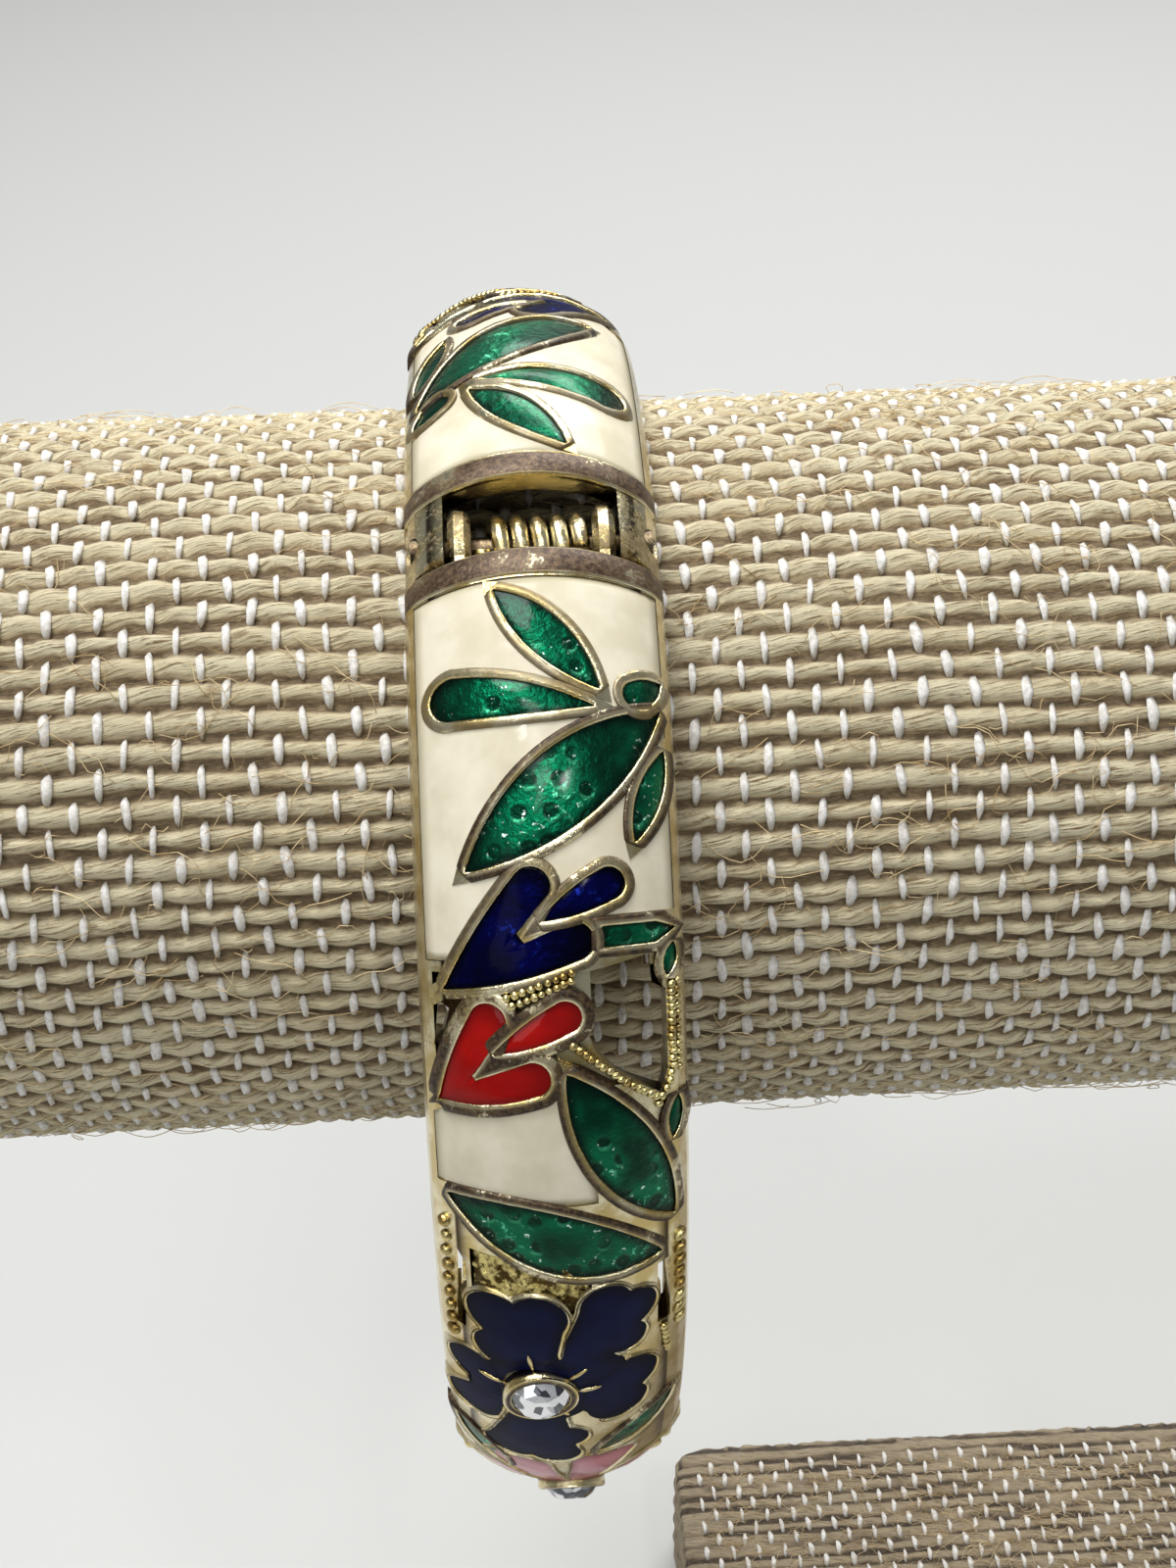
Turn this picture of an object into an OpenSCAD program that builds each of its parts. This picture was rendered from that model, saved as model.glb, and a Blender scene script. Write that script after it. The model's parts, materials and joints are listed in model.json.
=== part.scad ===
/* [Bangle] */
// Outer radius of the band, over the crown
band_r = 33; // [31.5:0.1:34]
// Width of the band along the wrist
band_w = 11.8; // [11.6:0.1:12.2]
// Depth of the band, from the crown to the inner edge
band_t = 5.25; // [5.2:0.05:5.5]
// Wall of the hollow casting under the crown
wall = 1.1; // [1:0.05:1.3]
// Depth of the cells that hold the enamel
cell_depth = 0.55; // [0.4:0.05:0.6]
// How far the enamel lies below the metal rims
enamel_drop = 0.12; // [0.05:0.01:0.2]
// Width of the metal rims round the motifs
rim_w = 0.4; // [0.35:0.05:0.5]
// How far the hinge is turned back from the front, over the horizontal
hinge_polar = 68.1; // [60:0.1:75]

/* [Hinge] */
// Depth of the hinge pin's axis below the crown
pin_depth = 2.9; // [2.8:0.05:3]
// Radius of the hinge pin
pin_r = 0.65; // [0.55:0.05:0.7]
// Radius of the knuckles and of the round ends of the ears
knuckle_r = 1.9; // [1.7:0.05:1.95]
// Half the gap between the two collars, along the band
lip_gap = 2.1; // [2.05:0.05:2.3]
// Wire of the torsion spring
spring_wire = 0.8; // [0.7:0.05:0.85]
// Turns of the torsion spring
spring_turns = 5; // [4:1:5]

/* [Stones] */
// Radius of the clear stones
stone_r = 1.35; // [1.2:0.05:1.4]
// Height of a stone's table over the crown
stone_table = 1.0; // [0.7:0.1:1.3]

/* [Stand] */
// Radius of the covered bar
bar_r = 19.05; // [18.5:0.05:19.5]
// Length of the bar
bar_len = 200; // [170:5:240]
// Height of the bar's axis over the table
bar_h = 117; // [110:1:130]
// How far the bangle hangs to the left of the post
bangle_off = 66; // [50:1:70]
// Base board: width, depth and thickness
base_size = [110, 68, 12]; // [10:1:160]
// Radius of the base board's corners
base_corner = 3; // [2:0.5:6]
// Radius of the post
post_r = 9; // [8:0.5:12]

/* [Hidden] */
$fn = 64;

spin_fn = 180;
leaf_fn = 240;
half_w = band_w / 2;
inner_r = band_r - band_t;
crown_r = 7.3;
fit = 0.03;
pin_z = band_r - pin_depth;
bore_r = pin_r + 0.05;
end_gap = 0.15;
end_wall = 1.0;
knuckle_in = 2.75;
knuckle_out = 3.8;
knuckle_edge = 0.3;
ear_in = 4.0;
seat_gap = 0.25;
hang = inner_r - bar_r - seat_gap;
setting_w = 0.42;
bud_tip = 0.15;
petal_start = 2.15;
lobe_back = 0.1;
lobe_in = 0.08;
notch_out = 0.3;
ground_depth = 0.35;
floor_gap = 0.05;
saddle_gap = 0.1;
half_len = band_r * PI;
coil_r = pin_r + 0.15 + spring_wire / 2;
coil_pitch = spring_wire + 0.1;
coil_len = spring_turns * coil_pitch;
coil_steps = 20;
coil_start = 35;
far = 60;
gold = "#c9b27a";
jute = "#c8ad84";

// The layout is drawn for the first part of a half; a row that ends in 1 comes again, mirrored, past its middle.
// Pointed leaves: distance along the half, place across it, length, width, turn in degrees, again.
LEAVES = [
    [6.6, 0.4, 6.6, 1.9, -47.5, 1],
    [13.4, 0.85, 11.2, 3.3, 38, 1],
    [13.8, 4.55, 4.4, 1.1, 70, 0],
    [29.9, 2.75, 9.4, 2.9, -60, 1],
    [34.2, -0.3, 10.2, 3.2, -20, 1],
    [29.0, 5.2, 2.0, 0.6, 82, 0],
    [21.3, 5.15, 1.5, 0.55, 76, 0],
    [49.9, 3.3, 5.2, 1.7, 42, 0],
    [53.2, -4.3, 5.0, 1.3, -62, 0]];
// Leaves with one round end, which is where the turn points away from.
BLUNT_LEAVES = [
    [9.4, -1.2, 7.2, 2.0, -7, 1],
    [8.9, 4.55, 2.0, 1.3, 35, 0]];
// Tulip buds: place of the open one's tip, then length, width and turn of its two lobes, the share of them that
// is filled between, then place, length, width and turn of the round-ended petal that stands free of them and of
// the closed, pointed bud towards the far end.
BLUE_BUD = [[22.15, -4.7], [6.8, 1.7, 49], [6.9, 1.7, 20], 0.62,
    [18.26, 1.35, 4.1, 1.45, 206], [84.3, -2.6, 6.6, 2.4, -48]];
RED_BUD = [[27.45, -5.12], [5.3, 1.55, 60], [5.1, 1.6, 19], 0.42,
    [23.96, -0.81, 4.25, 1.45, 207], [78.9, -2.9, 5.4, 2.0, -40]];
// Flowers: centre along and across the half, then each petal's turn, half its width at the stone, and its lobes,
// each with its place out from the stone and to the side, and its radius; the first two are the outer ones.
NAVY_FLOWER = [44.1, -1.3, [
    [100, 0.85, [[5.25, -0.95, 1.15], [5.25, 0.95, 1.15], [3.0, 1.25, 1.0]]],
    [56, 0.45, [[6.6, -0.7, 1.0], [6.6, 0.7, 1.0], [5.0, -1.45, 0.8]]],
    [-13, 0.95, [[3.95, -1.05, 1.25], [3.95, 1.05, 1.25]]],
    [-94, 1.0, [[6.9, -1.05, 1.1], [6.9, 1.05, 1.1], [4.6, 1.4, 0.95]]],
    [200, 0.9, [[2.7, -1.51, 0.95], [3.89, 1.62, 1.05]]]]];
PINK_FLOWER = [60.6, 0.1, [
    [78, 0.45, [[7.56, -0.56, 0.84], [7.56, 0.56, 0.84]]],
    [24, 0.8, [[4.4, -0.8, 1.2], [4.4, 0.8, 1.2]]],
    [-50, 0.9, [[4.92, -0.72, 1.08], [4.92, 0.72, 1.08]]],
    [-128, 0.9, [[4.92, -0.72, 1.08], [4.92, 0.72, 1.08]]],
    [156, 0.8, [[4.4, -0.8, 1.2], [4.4, 0.8, 1.2]]]]];
FLOWERS = [NAVY_FLOWER, PINK_FLOWER];
// Cream ground: start and end along the half, then the two sides across it; each comes again.
CREAM = [
    [3.6, 19.0, -5.45, 5.45],
    [18.5, 20.9, -5.45, -3.0],
    [26.4, 32.2, -5.45, 1.6]];
// Sunk ground of bare metal between the motifs, in the same order.
SUNK = [
    [21.4, 26.6, -5.2, 4.9],
    [35.2, 38.4, -4.2, 1.2]];
// Pierced places: whether they come again, then corner points, along and across the half.
PIERCED = [
    [1, [[21.4, 1.6], [21.0, 4.2], [22.4, 4.3], [22.9, 4.9], [26.3, 4.9],
        [27.3, 4.5], [26.1, 2.6], [25.0, 1.7], [24.2, 1.4], [22.9, 1.6]]],
    [0, [[22.9, -5.0], [23.2, -4.5], [25.0, -5.0], [24.8, -5.25]]],
    [0, [[36.9, 4.25], [36.9, 4.85], [40.8, 4.85], [40.8, 4.25]]],
    [0, [[35.6, -4.85], [36.4, -4.35], [40.6, -4.6], [40.6, -4.95]]]];

function turn_at(s) = s / band_r * 180 / PI;

// A place on the crown: s along the half from the hinge, w across it.
module on_band(s, w) {
    rotate([turn_at(s), 0, 0]) translate([w, 0, 0]) children();
}

// A flat shape raised into a prism from the middle of the wall to above the crown.
module prism() {
    translate([0, 0, band_r - 5.5]) linear_extrude(height = 8) children();
}

// A pointed leaf between two arcs; grow moves its outline outwards.
module leaf(len, wid, grow = 0) {
    arc_r = (len * len + wid * wid) / (4 * wid);
    intersection() {
        translate([0, wid / 2 - arc_r]) circle(arc_r + grow, $fn = leaf_fn);
        translate([0, arc_r - wid / 2]) circle(arc_r + grow, $fn = leaf_fn);
    }
}

// A leaf with a round end at -x and a point at +x.
module blunt_leaf(len, wid, grow = 0) {
    end_x = wid / 2 - len / 2;
    translate([end_x, 0]) circle(wid / 2 + grow);
    intersection() {
        translate([end_x, 0]) leaf(2 * len - wid, wid * 0.97, grow);
        translate([end_x, -wid]) square([len + 2 * grow, 2 * wid]);
    }
}

// A bud of two lobes that leave one tip, filled between them from just behind it for a share of their length.
module bud(lobes, share, grow) {
    middle = (lobes[0][2] + lobes[1][2]) / 2;
    back = bud_tip + min(grow, 3 * grow);
    for (lobe = lobes) rotate(lobe[2]) translate([lobe[0] / 2, 0]) mirror([1, 0])
        blunt_leaf(lobe[0], lobe[1], grow);
    polygon(concat([-back * [cos(middle), sin(middle)]],
        [for (lobe = lobes) share * lobe[0] * [cos(lobe[2]), sin(lobe[2])]]));
}

// A petal with round lobes, from the flower's middle out along +x; its body ends just inside the outer lobes.
module petal(neck, lobes, grow) {
    low = lobes[0];
    high = lobes[1];
    for (lobe = lobes) translate([lobe[0], lobe[1]]) circle(lobe[2] + grow);
    polygon([[petal_start - grow, -neck - grow], [petal_start - grow, neck + grow],
        [high[0] - lobe_back, high[1] + high[2] - lobe_in + grow],
        [(low[0] + high[0]) / 2 + notch_out, (low[1] + high[1]) / 2],
        [low[0] - lobe_back, low[1] - low[2] + lobe_in - grow]]);
}

// A motif at its place and, if it comes again, mirrored at the same distance from the far end.
module placed(s, w, again) {
    on_band(s, w) children();
    if (again == 1) on_band(half_len - s, w) mirror([0, 1, 0]) children();
}

// The flat green stem under the blue bud, with a point at its right end.
module stem(grow) {
    polygon([[-1.4 - grow, 0.45 + grow], [1.0 + grow, 0.45 + grow], [1.9 + grow, 0.1],
        [1.0 + grow, -0.45 - grow], [-1.4 - grow, -0.45 - grow]]);
}

module leaf_prisms(grow) {
    for (row = LEAVES) placed(row[0], row[1], row[5]) rotate(row[4]) prism() leaf(row[2], row[3], grow);
    for (row = BLUNT_LEAVES) placed(row[0], row[1], row[5]) rotate(row[4]) prism()
        blunt_leaf(row[2], row[3], grow);
    placed(19.95, 3.55, 1) prism() stem(grow);
}

module bud_prisms(bud, grow) {
    petal = bud[4];
    closed = bud[5];
    on_band(bud[0][0], bud[0][1]) prism() bud([bud[1], bud[2]], bud[3], grow);
    on_band(petal[0], petal[1]) rotate(petal[4]) prism() blunt_leaf(petal[2], petal[3], grow);
    on_band(closed[0], closed[1]) rotate(closed[4]) prism() leaf(closed[2], closed[3], grow);
}

module flower_prisms(flower, grow) {
    for (row = flower[2]) on_band(flower[0], flower[1]) prism() rotate(row[0]) petal(row[1], row[2], grow);
}

module all_motifs(grow) {
    leaf_prisms(grow);
    bud_prisms(BLUE_BUD, grow);
    bud_prisms(RED_BUD, grow);
    for (flower = FLOWERS) flower_prisms(flower, grow);
}

// A slice of the ring between two places along the half, from one side to the other.
module slice(s0, s1, w0, w1) {
    a0 = turn_at(s0);
    a1 = turn_at(s1);
    translate([w0, 0, 0]) rotate([90, 0, 90]) linear_extrude(height = w1 - w0)
        polygon([[0, 0], [-far * sin(a0), far * cos(a0)], [-far * sin(a1), far * cos(a1)]]);
}

// The same slice and its mirror image towards the far end.
module both_slices(row, inset) {
    slice(row[0] + inset, row[1] - inset, row[2] + inset, row[3] - inset);
    slice(half_len - row[1] + inset, half_len - row[0] - inset, row[2] + inset, row[3] - inset);
}

module cream_ground(inset) {
    for (row = CREAM) difference() {
        both_slices(row, inset);
        all_motifs(rim_w + inset);
    }
}

module pierced_prisms() {
    for (row = PIERCED) {
        points = row[1];
        places = [for (p = points) p[0]];
        s_mid = (min(places) + max(places)) / 2;
        placed(s_mid, 0, row[0]) translate([0, 0, inner_r - 2]) linear_extrude(height = 12)
            polygon([for (p = points) [p[1], s_mid - p[0]]]);
    }
}

// The band's cross-section, drawn in by inset and reaching down to radius low.
module section(inset, low) {
    side = half_w - inset;
    intersection() {
        translate([band_r - crown_r, 0]) circle(crown_r - inset, $fn = 96);
        polygon([[low, -side], [band_r - 4.0, -side], [band_r - 3.05, 0.18 - side],
            [band_r - 2.15, 0.65 - side], [band_r + 1, 3.6 - side],
            [band_r + 1, side - 3.6], [band_r - 2.15, side - 0.65],
            [band_r - 3.05, side - 0.18], [band_r - 4.0, side], [low, side]]);
    }
}

module band(inset, low) {
    rotate([0, 90, 0]) rotate_extrude($fn = spin_fn) section(inset, low);
}

// The ring of metal inside which a cell's floor lies.
module core(depth) {
    band(depth, inner_r - 1);
}

module block(x0, x1, y0, y1, z0, z1) {
    translate([x0, y0, z0]) cube([x1 - x0, y1 - y0, z1 - z0]);
}

module along_pin(r, x0, x1) {
    translate([x0, 0, pin_z]) rotate([0, 90, 0]) cylinder(r = r, h = x1 - x0);
}

// What lies on one side of the hinge: everything past the collar's lip and past the free end.
module half_space() {
    block(-far, far, -far, -lip_gap, 0, far);
    block(-far, far, -far, -end_gap, -far, 1);
}

// The inside of the hollow casting, closed at the free end and, when walled, at the hinge too.
module hollow(walled) {
    difference() {
        band(wall, inner_r - 3);
        block(-far, far, -end_gap - end_wall, far, -far, 0);
        if (walled) block(-far, far, -lip_gap - end_wall, far, 0, far);
        stone_seats();
    }
}

// Round bosses under the stones, from the wrist side up into the wall.
module stone_seats() {
    for (flower = FLOWERS)
        on_band(flower[0], flower[1]) translate([0, 0, band_r - 3.6])
            cylinder(r = stone_r + setting_w, h = 4);
}

module settings() {
    for (flower = FLOWERS)
        on_band(flower[0], flower[1]) translate([0, 0, band_r - 2])
            cylinder(r = stone_r + setting_w, h = 2.35);
}

module stone_holes() {
    for (flower = FLOWERS)
        on_band(flower[0], flower[1]) translate([0, 0, band_r - 1.5])
            cylinder(r = stone_r + fit, h = 4);
}

module motif_cells() {
    difference() {
        all_motifs(0);
        core(cell_depth);
    }
}

module cream_cells() {
    difference() {
        cream_ground(0);
        core(cell_depth);
    }
}

module sunk_ground() {
    for (row = SUNK) difference() {
        both_slices(row, 0);
        all_motifs(rim_w);
        core(ground_depth);
    }
}

module ornament_cuts() {
    motif_cells();
    cream_cells();
    sunk_ground();
    pierced_prisms();
    stone_holes();
}

// The hollow casting with its settings, hinge at the top and the band running down on the -Y side.
module plain_half(walled) {
    intersection() {
        difference() {
            band(0, inner_r);
            hollow(walled);
        }
        half_space();
    }
    settings();
}

// A knuckle: a lug about the pin with its edges taken off, and the web that joins it to the collar.
module knuckle() {
    flat_in = knuckle_in + knuckle_edge;
    flat_out = knuckle_out - knuckle_edge;
    along_pin(knuckle_r, flat_in, flat_out);
    translate([flat_out, 0, pin_z]) rotate([0, 90, 0])
        cylinder(r1 = knuckle_r, r2 = knuckle_r - knuckle_edge, h = knuckle_edge);
    translate([knuckle_in, 0, pin_z]) rotate([0, 90, 0])
        cylinder(r1 = knuckle_r - knuckle_edge, r2 = knuckle_r, h = knuckle_edge);
    block(flat_in, flat_out, -lip_gap - 0.5, 0, pin_z - 1.8, pin_z + 1.4);
}

// The half with the knuckles.
module knuckled_half() {
    difference() {
        union() {
            plain_half(true);
            for (side = [-1, 1]) mirror([side < 0 ? 1 : 0, 0, 0]) knuckle();
        }
        ornament_cuts();
        along_pin(bore_r, -knuckle_out - 1, knuckle_out + 1);
    }
}

// An ear of the upper half, round about the pin, kept a hair inside the band's own surface.
module ears() {
    intersection() {
        band(0.05, inner_r + 0.1);
        for (side = [-1, 1]) mirror([side < 0 ? 1 : 0, 0, 0]) {
            along_pin(knuckle_r, ear_in, half_w + 1);
            block(ear_in, half_w + 1, -lip_gap - 1.2, 0, pin_z - 1.8, pin_z + 1.8);
        }
    }
}

// The half with the outer ears, in the same place; it is turned half round to become the upper one.
module eared_half() {
    difference() {
        union() {
            plain_half(false);
            ears();
        }
        ornament_cuts();
        along_pin(bore_r, -half_w - 1, half_w + 1);
    }
}

// Enamel lies in a cell, a little below its rims and clear of its walls.
module enamel() {
    difference() {
        intersection() {
            band(enamel_drop, inner_r);
            children();
        }
        core(cell_depth - fit);
    }
}

module green_enamel() { color("#0d7a4f") enamel() leaf_prisms(-fit); }
module blue_enamel() { color("#10206e") enamel() bud_prisms(BLUE_BUD, -fit); }
module red_enamel() { color("#c01a18") enamel() bud_prisms(RED_BUD, -fit); }
module navy_enamel() { color("#1b2340") enamel() flower_prisms(NAVY_FLOWER, -fit); }
module pink_enamel() { color("#c9808c") enamel() flower_prisms(PINK_FLOWER, -fit); }
module cream_enamel() { color("#ebe0c8") enamel() cream_ground(fit); }

// An eight-sided brilliant with a flat table, standing in its setting.
module stone(flower) {
    color("#e8eef2") on_band(flower[0], flower[1]) translate([0, 0, band_r + 0.2]) {
        cylinder(r1 = stone_r, r2 = stone_r * 0.6, h = stone_table - 0.2, $fn = 8);
        translate([0, 0, -0.2]) cylinder(r = stone_r, h = 0.2, $fn = 8);
        translate([0, 0, -1.4]) cylinder(r1 = 0.2, r2 = stone_r, h = 1.2, $fn = 8);
    }
}

// Places a lower piece, or an upper one turned half round, on the bar.
module lower() {
    translate([-bangle_off, 0, bar_h - hang]) rotate([90 - hinge_polar, 0, 0]) children();
}

module upper() {
    lower() rotate([0, 0, 180]) children();
}

module hinge_pin() {
    color(gold) lower() along_pin(pin_r, -half_w + 0.35, half_w - 0.35);
}

// The torsion spring: turns of round wire about the pin.
function coil_point(i) =
    let (a = i / coil_steps * 360 + coil_start)
    [-coil_len / 2 + i / coil_steps * coil_pitch, -coil_r * sin(a), pin_z + coil_r * cos(a)];
function wire_ring(p, t, r) =
    let (u = [1, 0, 0] - t * (t * [1, 0, 0]), v = u / norm(u), n = cross(t, v))
    [for (k = [0 : 7]) p + r * (cos(k * 45) * v + sin(k * 45) * n)];

module torsion_spring() {
    count = spring_turns * coil_steps;
    path = [for (i = [0 : count]) coil_point(i)];
    rings = [for (i = [0 : count])
        let (a = i / coil_steps * 360 + coil_start,
            t = [coil_pitch / (2 * PI * coil_r), -cos(a), -sin(a)])
        wire_ring(path[i], t / norm(t), spring_wire / 2)];
    sides = [for (i = [0 : count - 1], k = [0 : 7])
        [i * 8 + k, i * 8 + (k + 1) % 8, (i + 1) * 8 + (k + 1) % 8, (i + 1) * 8 + k]];
    color("#d8c48a") lower() polyhedron(
        points = [for (ring = rings, p = ring) p],
        faces = concat([[7, 6, 5, 4, 3, 2, 1, 0]], sides, [[for (k = [0 : 7]) count * 8 + k]]));
}

module upper_half() { color(gold) upper() eared_half(); }
module lower_half() { color(gold) lower() knuckled_half(); }

module display_bar() {
    color(jute) translate([-bar_len / 2, 0, bar_h]) rotate([0, 90, 0])
        cylinder(r = bar_r, h = bar_len, $fn = 96);
}

module display_post() {
    color(jute) difference() {
        translate([0, 0, base_size[2] + floor_gap]) cylinder(r = post_r, h = bar_h - base_size[2]);
        translate([-far, 0, bar_h]) rotate([0, 90, 0]) cylinder(r = bar_r + saddle_gap, h = 2 * far, $fn = 96);
    }
}

module display_base() {
    color(jute) linear_extrude(height = base_size[2]) union() {
        square([base_size[0] - 2 * base_corner, base_size[1]], center = true);
        square([base_size[0], base_size[1] - 2 * base_corner], center = true);
        for (x = [-1, 1], y = [-1, 1])
            translate([x * (base_size[0] / 2 - base_corner), y * (base_size[1] / 2 - base_corner)])
                circle(base_corner);
    }
}

upper_half();
lower_half();
hinge_pin();
torsion_spring();
upper() cream_enamel();  // upper_cream
upper() green_enamel();  // upper_green
upper() blue_enamel();  // upper_blue
upper() red_enamel();  // upper_red
upper() navy_enamel();  // upper_navy
upper() pink_enamel();  // upper_pink
lower() cream_enamel();  // lower_cream
lower() green_enamel();  // lower_green
lower() blue_enamel();  // lower_blue
lower() red_enamel();  // lower_red
lower() navy_enamel();  // lower_navy
lower() pink_enamel();  // lower_pink
upper() stone(NAVY_FLOWER);  // upper_flower_stone
upper() stone(PINK_FLOWER);  // upper_tip_stone
lower() stone(NAVY_FLOWER);  // lower_flower_stone
lower() stone(PINK_FLOWER);  // lower_tip_stone
display_bar();
display_post();
display_base();
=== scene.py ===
import json
import random
from functools import partial
from math import asin, atan2, ceil, copysign, cos, degrees, hypot, pi, radians, sin, sqrt

import bmesh
import bpy
import numpy as np
from mathutils import Matrix, Vector


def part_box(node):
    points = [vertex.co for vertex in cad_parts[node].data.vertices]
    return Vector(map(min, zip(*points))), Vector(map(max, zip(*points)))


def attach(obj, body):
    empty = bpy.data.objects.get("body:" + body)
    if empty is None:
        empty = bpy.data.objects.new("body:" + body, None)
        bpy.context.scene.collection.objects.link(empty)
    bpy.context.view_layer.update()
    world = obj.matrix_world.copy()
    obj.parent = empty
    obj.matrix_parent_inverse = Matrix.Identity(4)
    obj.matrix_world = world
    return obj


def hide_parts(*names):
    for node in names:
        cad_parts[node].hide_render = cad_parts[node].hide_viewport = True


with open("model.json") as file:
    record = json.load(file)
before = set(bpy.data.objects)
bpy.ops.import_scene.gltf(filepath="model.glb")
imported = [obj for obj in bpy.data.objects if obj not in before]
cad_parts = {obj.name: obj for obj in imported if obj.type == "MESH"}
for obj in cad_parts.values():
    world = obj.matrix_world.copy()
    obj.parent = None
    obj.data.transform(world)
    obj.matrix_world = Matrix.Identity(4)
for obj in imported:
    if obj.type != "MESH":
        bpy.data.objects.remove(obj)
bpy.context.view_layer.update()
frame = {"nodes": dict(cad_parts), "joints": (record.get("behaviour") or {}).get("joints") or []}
scene = bpy.context.scene
scene.view_settings.view_transform = "Standard"
mm = 0.001
aboutATurn = 6.28
pinPlace = Vector(frame["joints"][0]["pos_m"]) / mm

# where the photograph was taken from, in millimetres and degrees
viewpoint = {"place": (pinPlace.x - 1.21, -98.75, 185.8), "turns": ((-2.34, "Z"), (54.41, "X"), (-1.18, "Z")),
             "lens": 49.99, "film": 36, "nearest": 5}


def addObject(name, data):
    made = bpy.data.objects.new(name, data)
    scene.collection.objects.link(made)
    return made


def takeCamera():
    scene.camera = camera = addObject("viewCamera", bpy.data.cameras.new("viewCamera"))
    view = Matrix.Translation(Vector(viewpoint["place"]) * mm)
    for angle, axis in viewpoint["turns"]:
        view = view @ Matrix.Rotation(radians(angle), 4, axis)
    camera.matrix_world = view
    camera.data.sensor_width = viewpoint["film"]
    camera.data.lens = viewpoint["lens"]
    camera.data.clip_start = viewpoint["nearest"] * mm


takeCamera()
print("camera set")


# shader helpers, each of which adds its nodes to the tree of the sockets that it gets

def srgb(red, green, blue):
    return (*[((c / 255 + 0.055) / 1.055) ** 2.4 for c in (red, green, blue)], 1)


def setInputs(node, inputs):
    for name, value in inputs.items():
        if isinstance(value, bpy.types.NodeSocket):
            node.id_data.links.new(value, node.inputs[name])
        else:
            node.inputs[name].default_value = value


def shaderNode(tree, kind, inputs=None, **settings):
    made = tree.nodes.new("ShaderNode" + kind)
    for name, value in settings.items():
        setattr(made, name, value)
    setInputs(made, inputs or {})
    return made


def calc(operation, a, b=0.0):
    tree = (a if isinstance(a, bpy.types.NodeSocket) else b).id_data
    return shaderNode(tree, "Math", {0: a, 1: b}, operation=operation).outputs[0]


plus, less, times = [partial(calc, operation) for operation in ("ADD", "SUBTRACT", "MULTIPLY")]


def fade(value, low, high, toLow=0.0, toHigh=1.0):
    inputs = {"Value": value, "From Min": low, "From Max": high, "To Min": toLow, "To Max": toHigh}
    return shaderNode(value.id_data, "MapRange", inputs, interpolation_type="SMOOTHSTEP").outputs[0]


def mix(factor, a, b):
    return shaderNode(factor.id_data, "Mix", {0: factor, 6: a, 7: b}, data_type="RGBA").outputs[2]


def cloud(place, size, detail=3.0, rough=0.55):
    inputs = {"Vector": place, "Scale": 1 / size, "Detail": detail, "Roughness": rough}
    return shaderNode(place.id_data, "TexNoise", inputs).outputs["Fac"]


def bumps(height, strength, size):
    inputs = {"Height": height, "Strength": strength, "Distance": size * mm}
    return shaderNode(height.id_data, "Bump", inputs).outputs["Normal"]


def readAttribute(tree, name, output="Fac"):
    return shaderNode(tree, "Attribute", attribute_name=name).outputs[output]


def newMaterial(name):
    material = bpy.data.materials.new(name)
    material.use_nodes = True
    tree = material.node_tree
    return material, tree, tree.nodes["Principled BSDF"]


def newFinish(name):
    # a material, and the place on the piece that its patterns follow
    material, tree, shader = newMaterial(name)
    return material, tree, shader, shaderNode(tree, "TexCoord").outputs["Object"]


# finishes

giltLook = {"bright": srgb(240, 228, 190), "warm": srgb(206, 184, 124), "tarnish": srgb(80, 66, 50),
            "tarnishLight": srgb(146, 130, 104), "deep": srgb(44, 32, 16), "insideShade": srgb(58, 40, 18),
            "sunlit": srgb(236, 220, 158), "amber": srgb(172, 144, 82), "paintedGlint": srgb(255, 236, 156),
            "hollow": srgb(86, 66, 28), "rimDark": srgb(36, 25, 15), "rimLight": srgb(96, 76, 50),
            "collarDark": srgb(62, 45, 32), "collarLight": srgb(118, 96, 72),
            "polish": 0.15, "unevenPolish": 0.14, "dull": 0.4, "tarnishedMetal": 0.4}
giltSizes = {"grain": 0.24, "patch": 4.2, "dents": 0.6, "dentDepth": 0.12, "crevice": 0.7}   # millimetres
# where the inside of the casting and the hinge lie, from their middles, and how softly each ends
hollowPlace = {"radius": (31.75, 0.5), "halfWidth": (4.85, 0.15), "hinge": (2.35, 0.25)}


def insideCasting(place):
    # one inside the hollow casting, and one near the hinge pin
    side, front, up = shaderNode(place.id_data, "SeparateXYZ", {0: place}).outputs
    far = []
    for middle in (ringCentre, pinPlace):
        y, z = less(front, middle.y * mm), less(up, middle.z * mm)
        far.append(calc("SQRT", plus(times(y, y), times(z, z))))

    def within(value, name):
        edge, soft = hollowPlace[name]
        return fade(value, (edge - soft) * mm, edge * mm, 1, 0)

    narrow = within(calc("ABSOLUTE", less(side, ringCentre.x * mm)), "halfWidth")
    return times(within(far[0], "radius"), narrow), within(far[1], "hinge")


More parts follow.
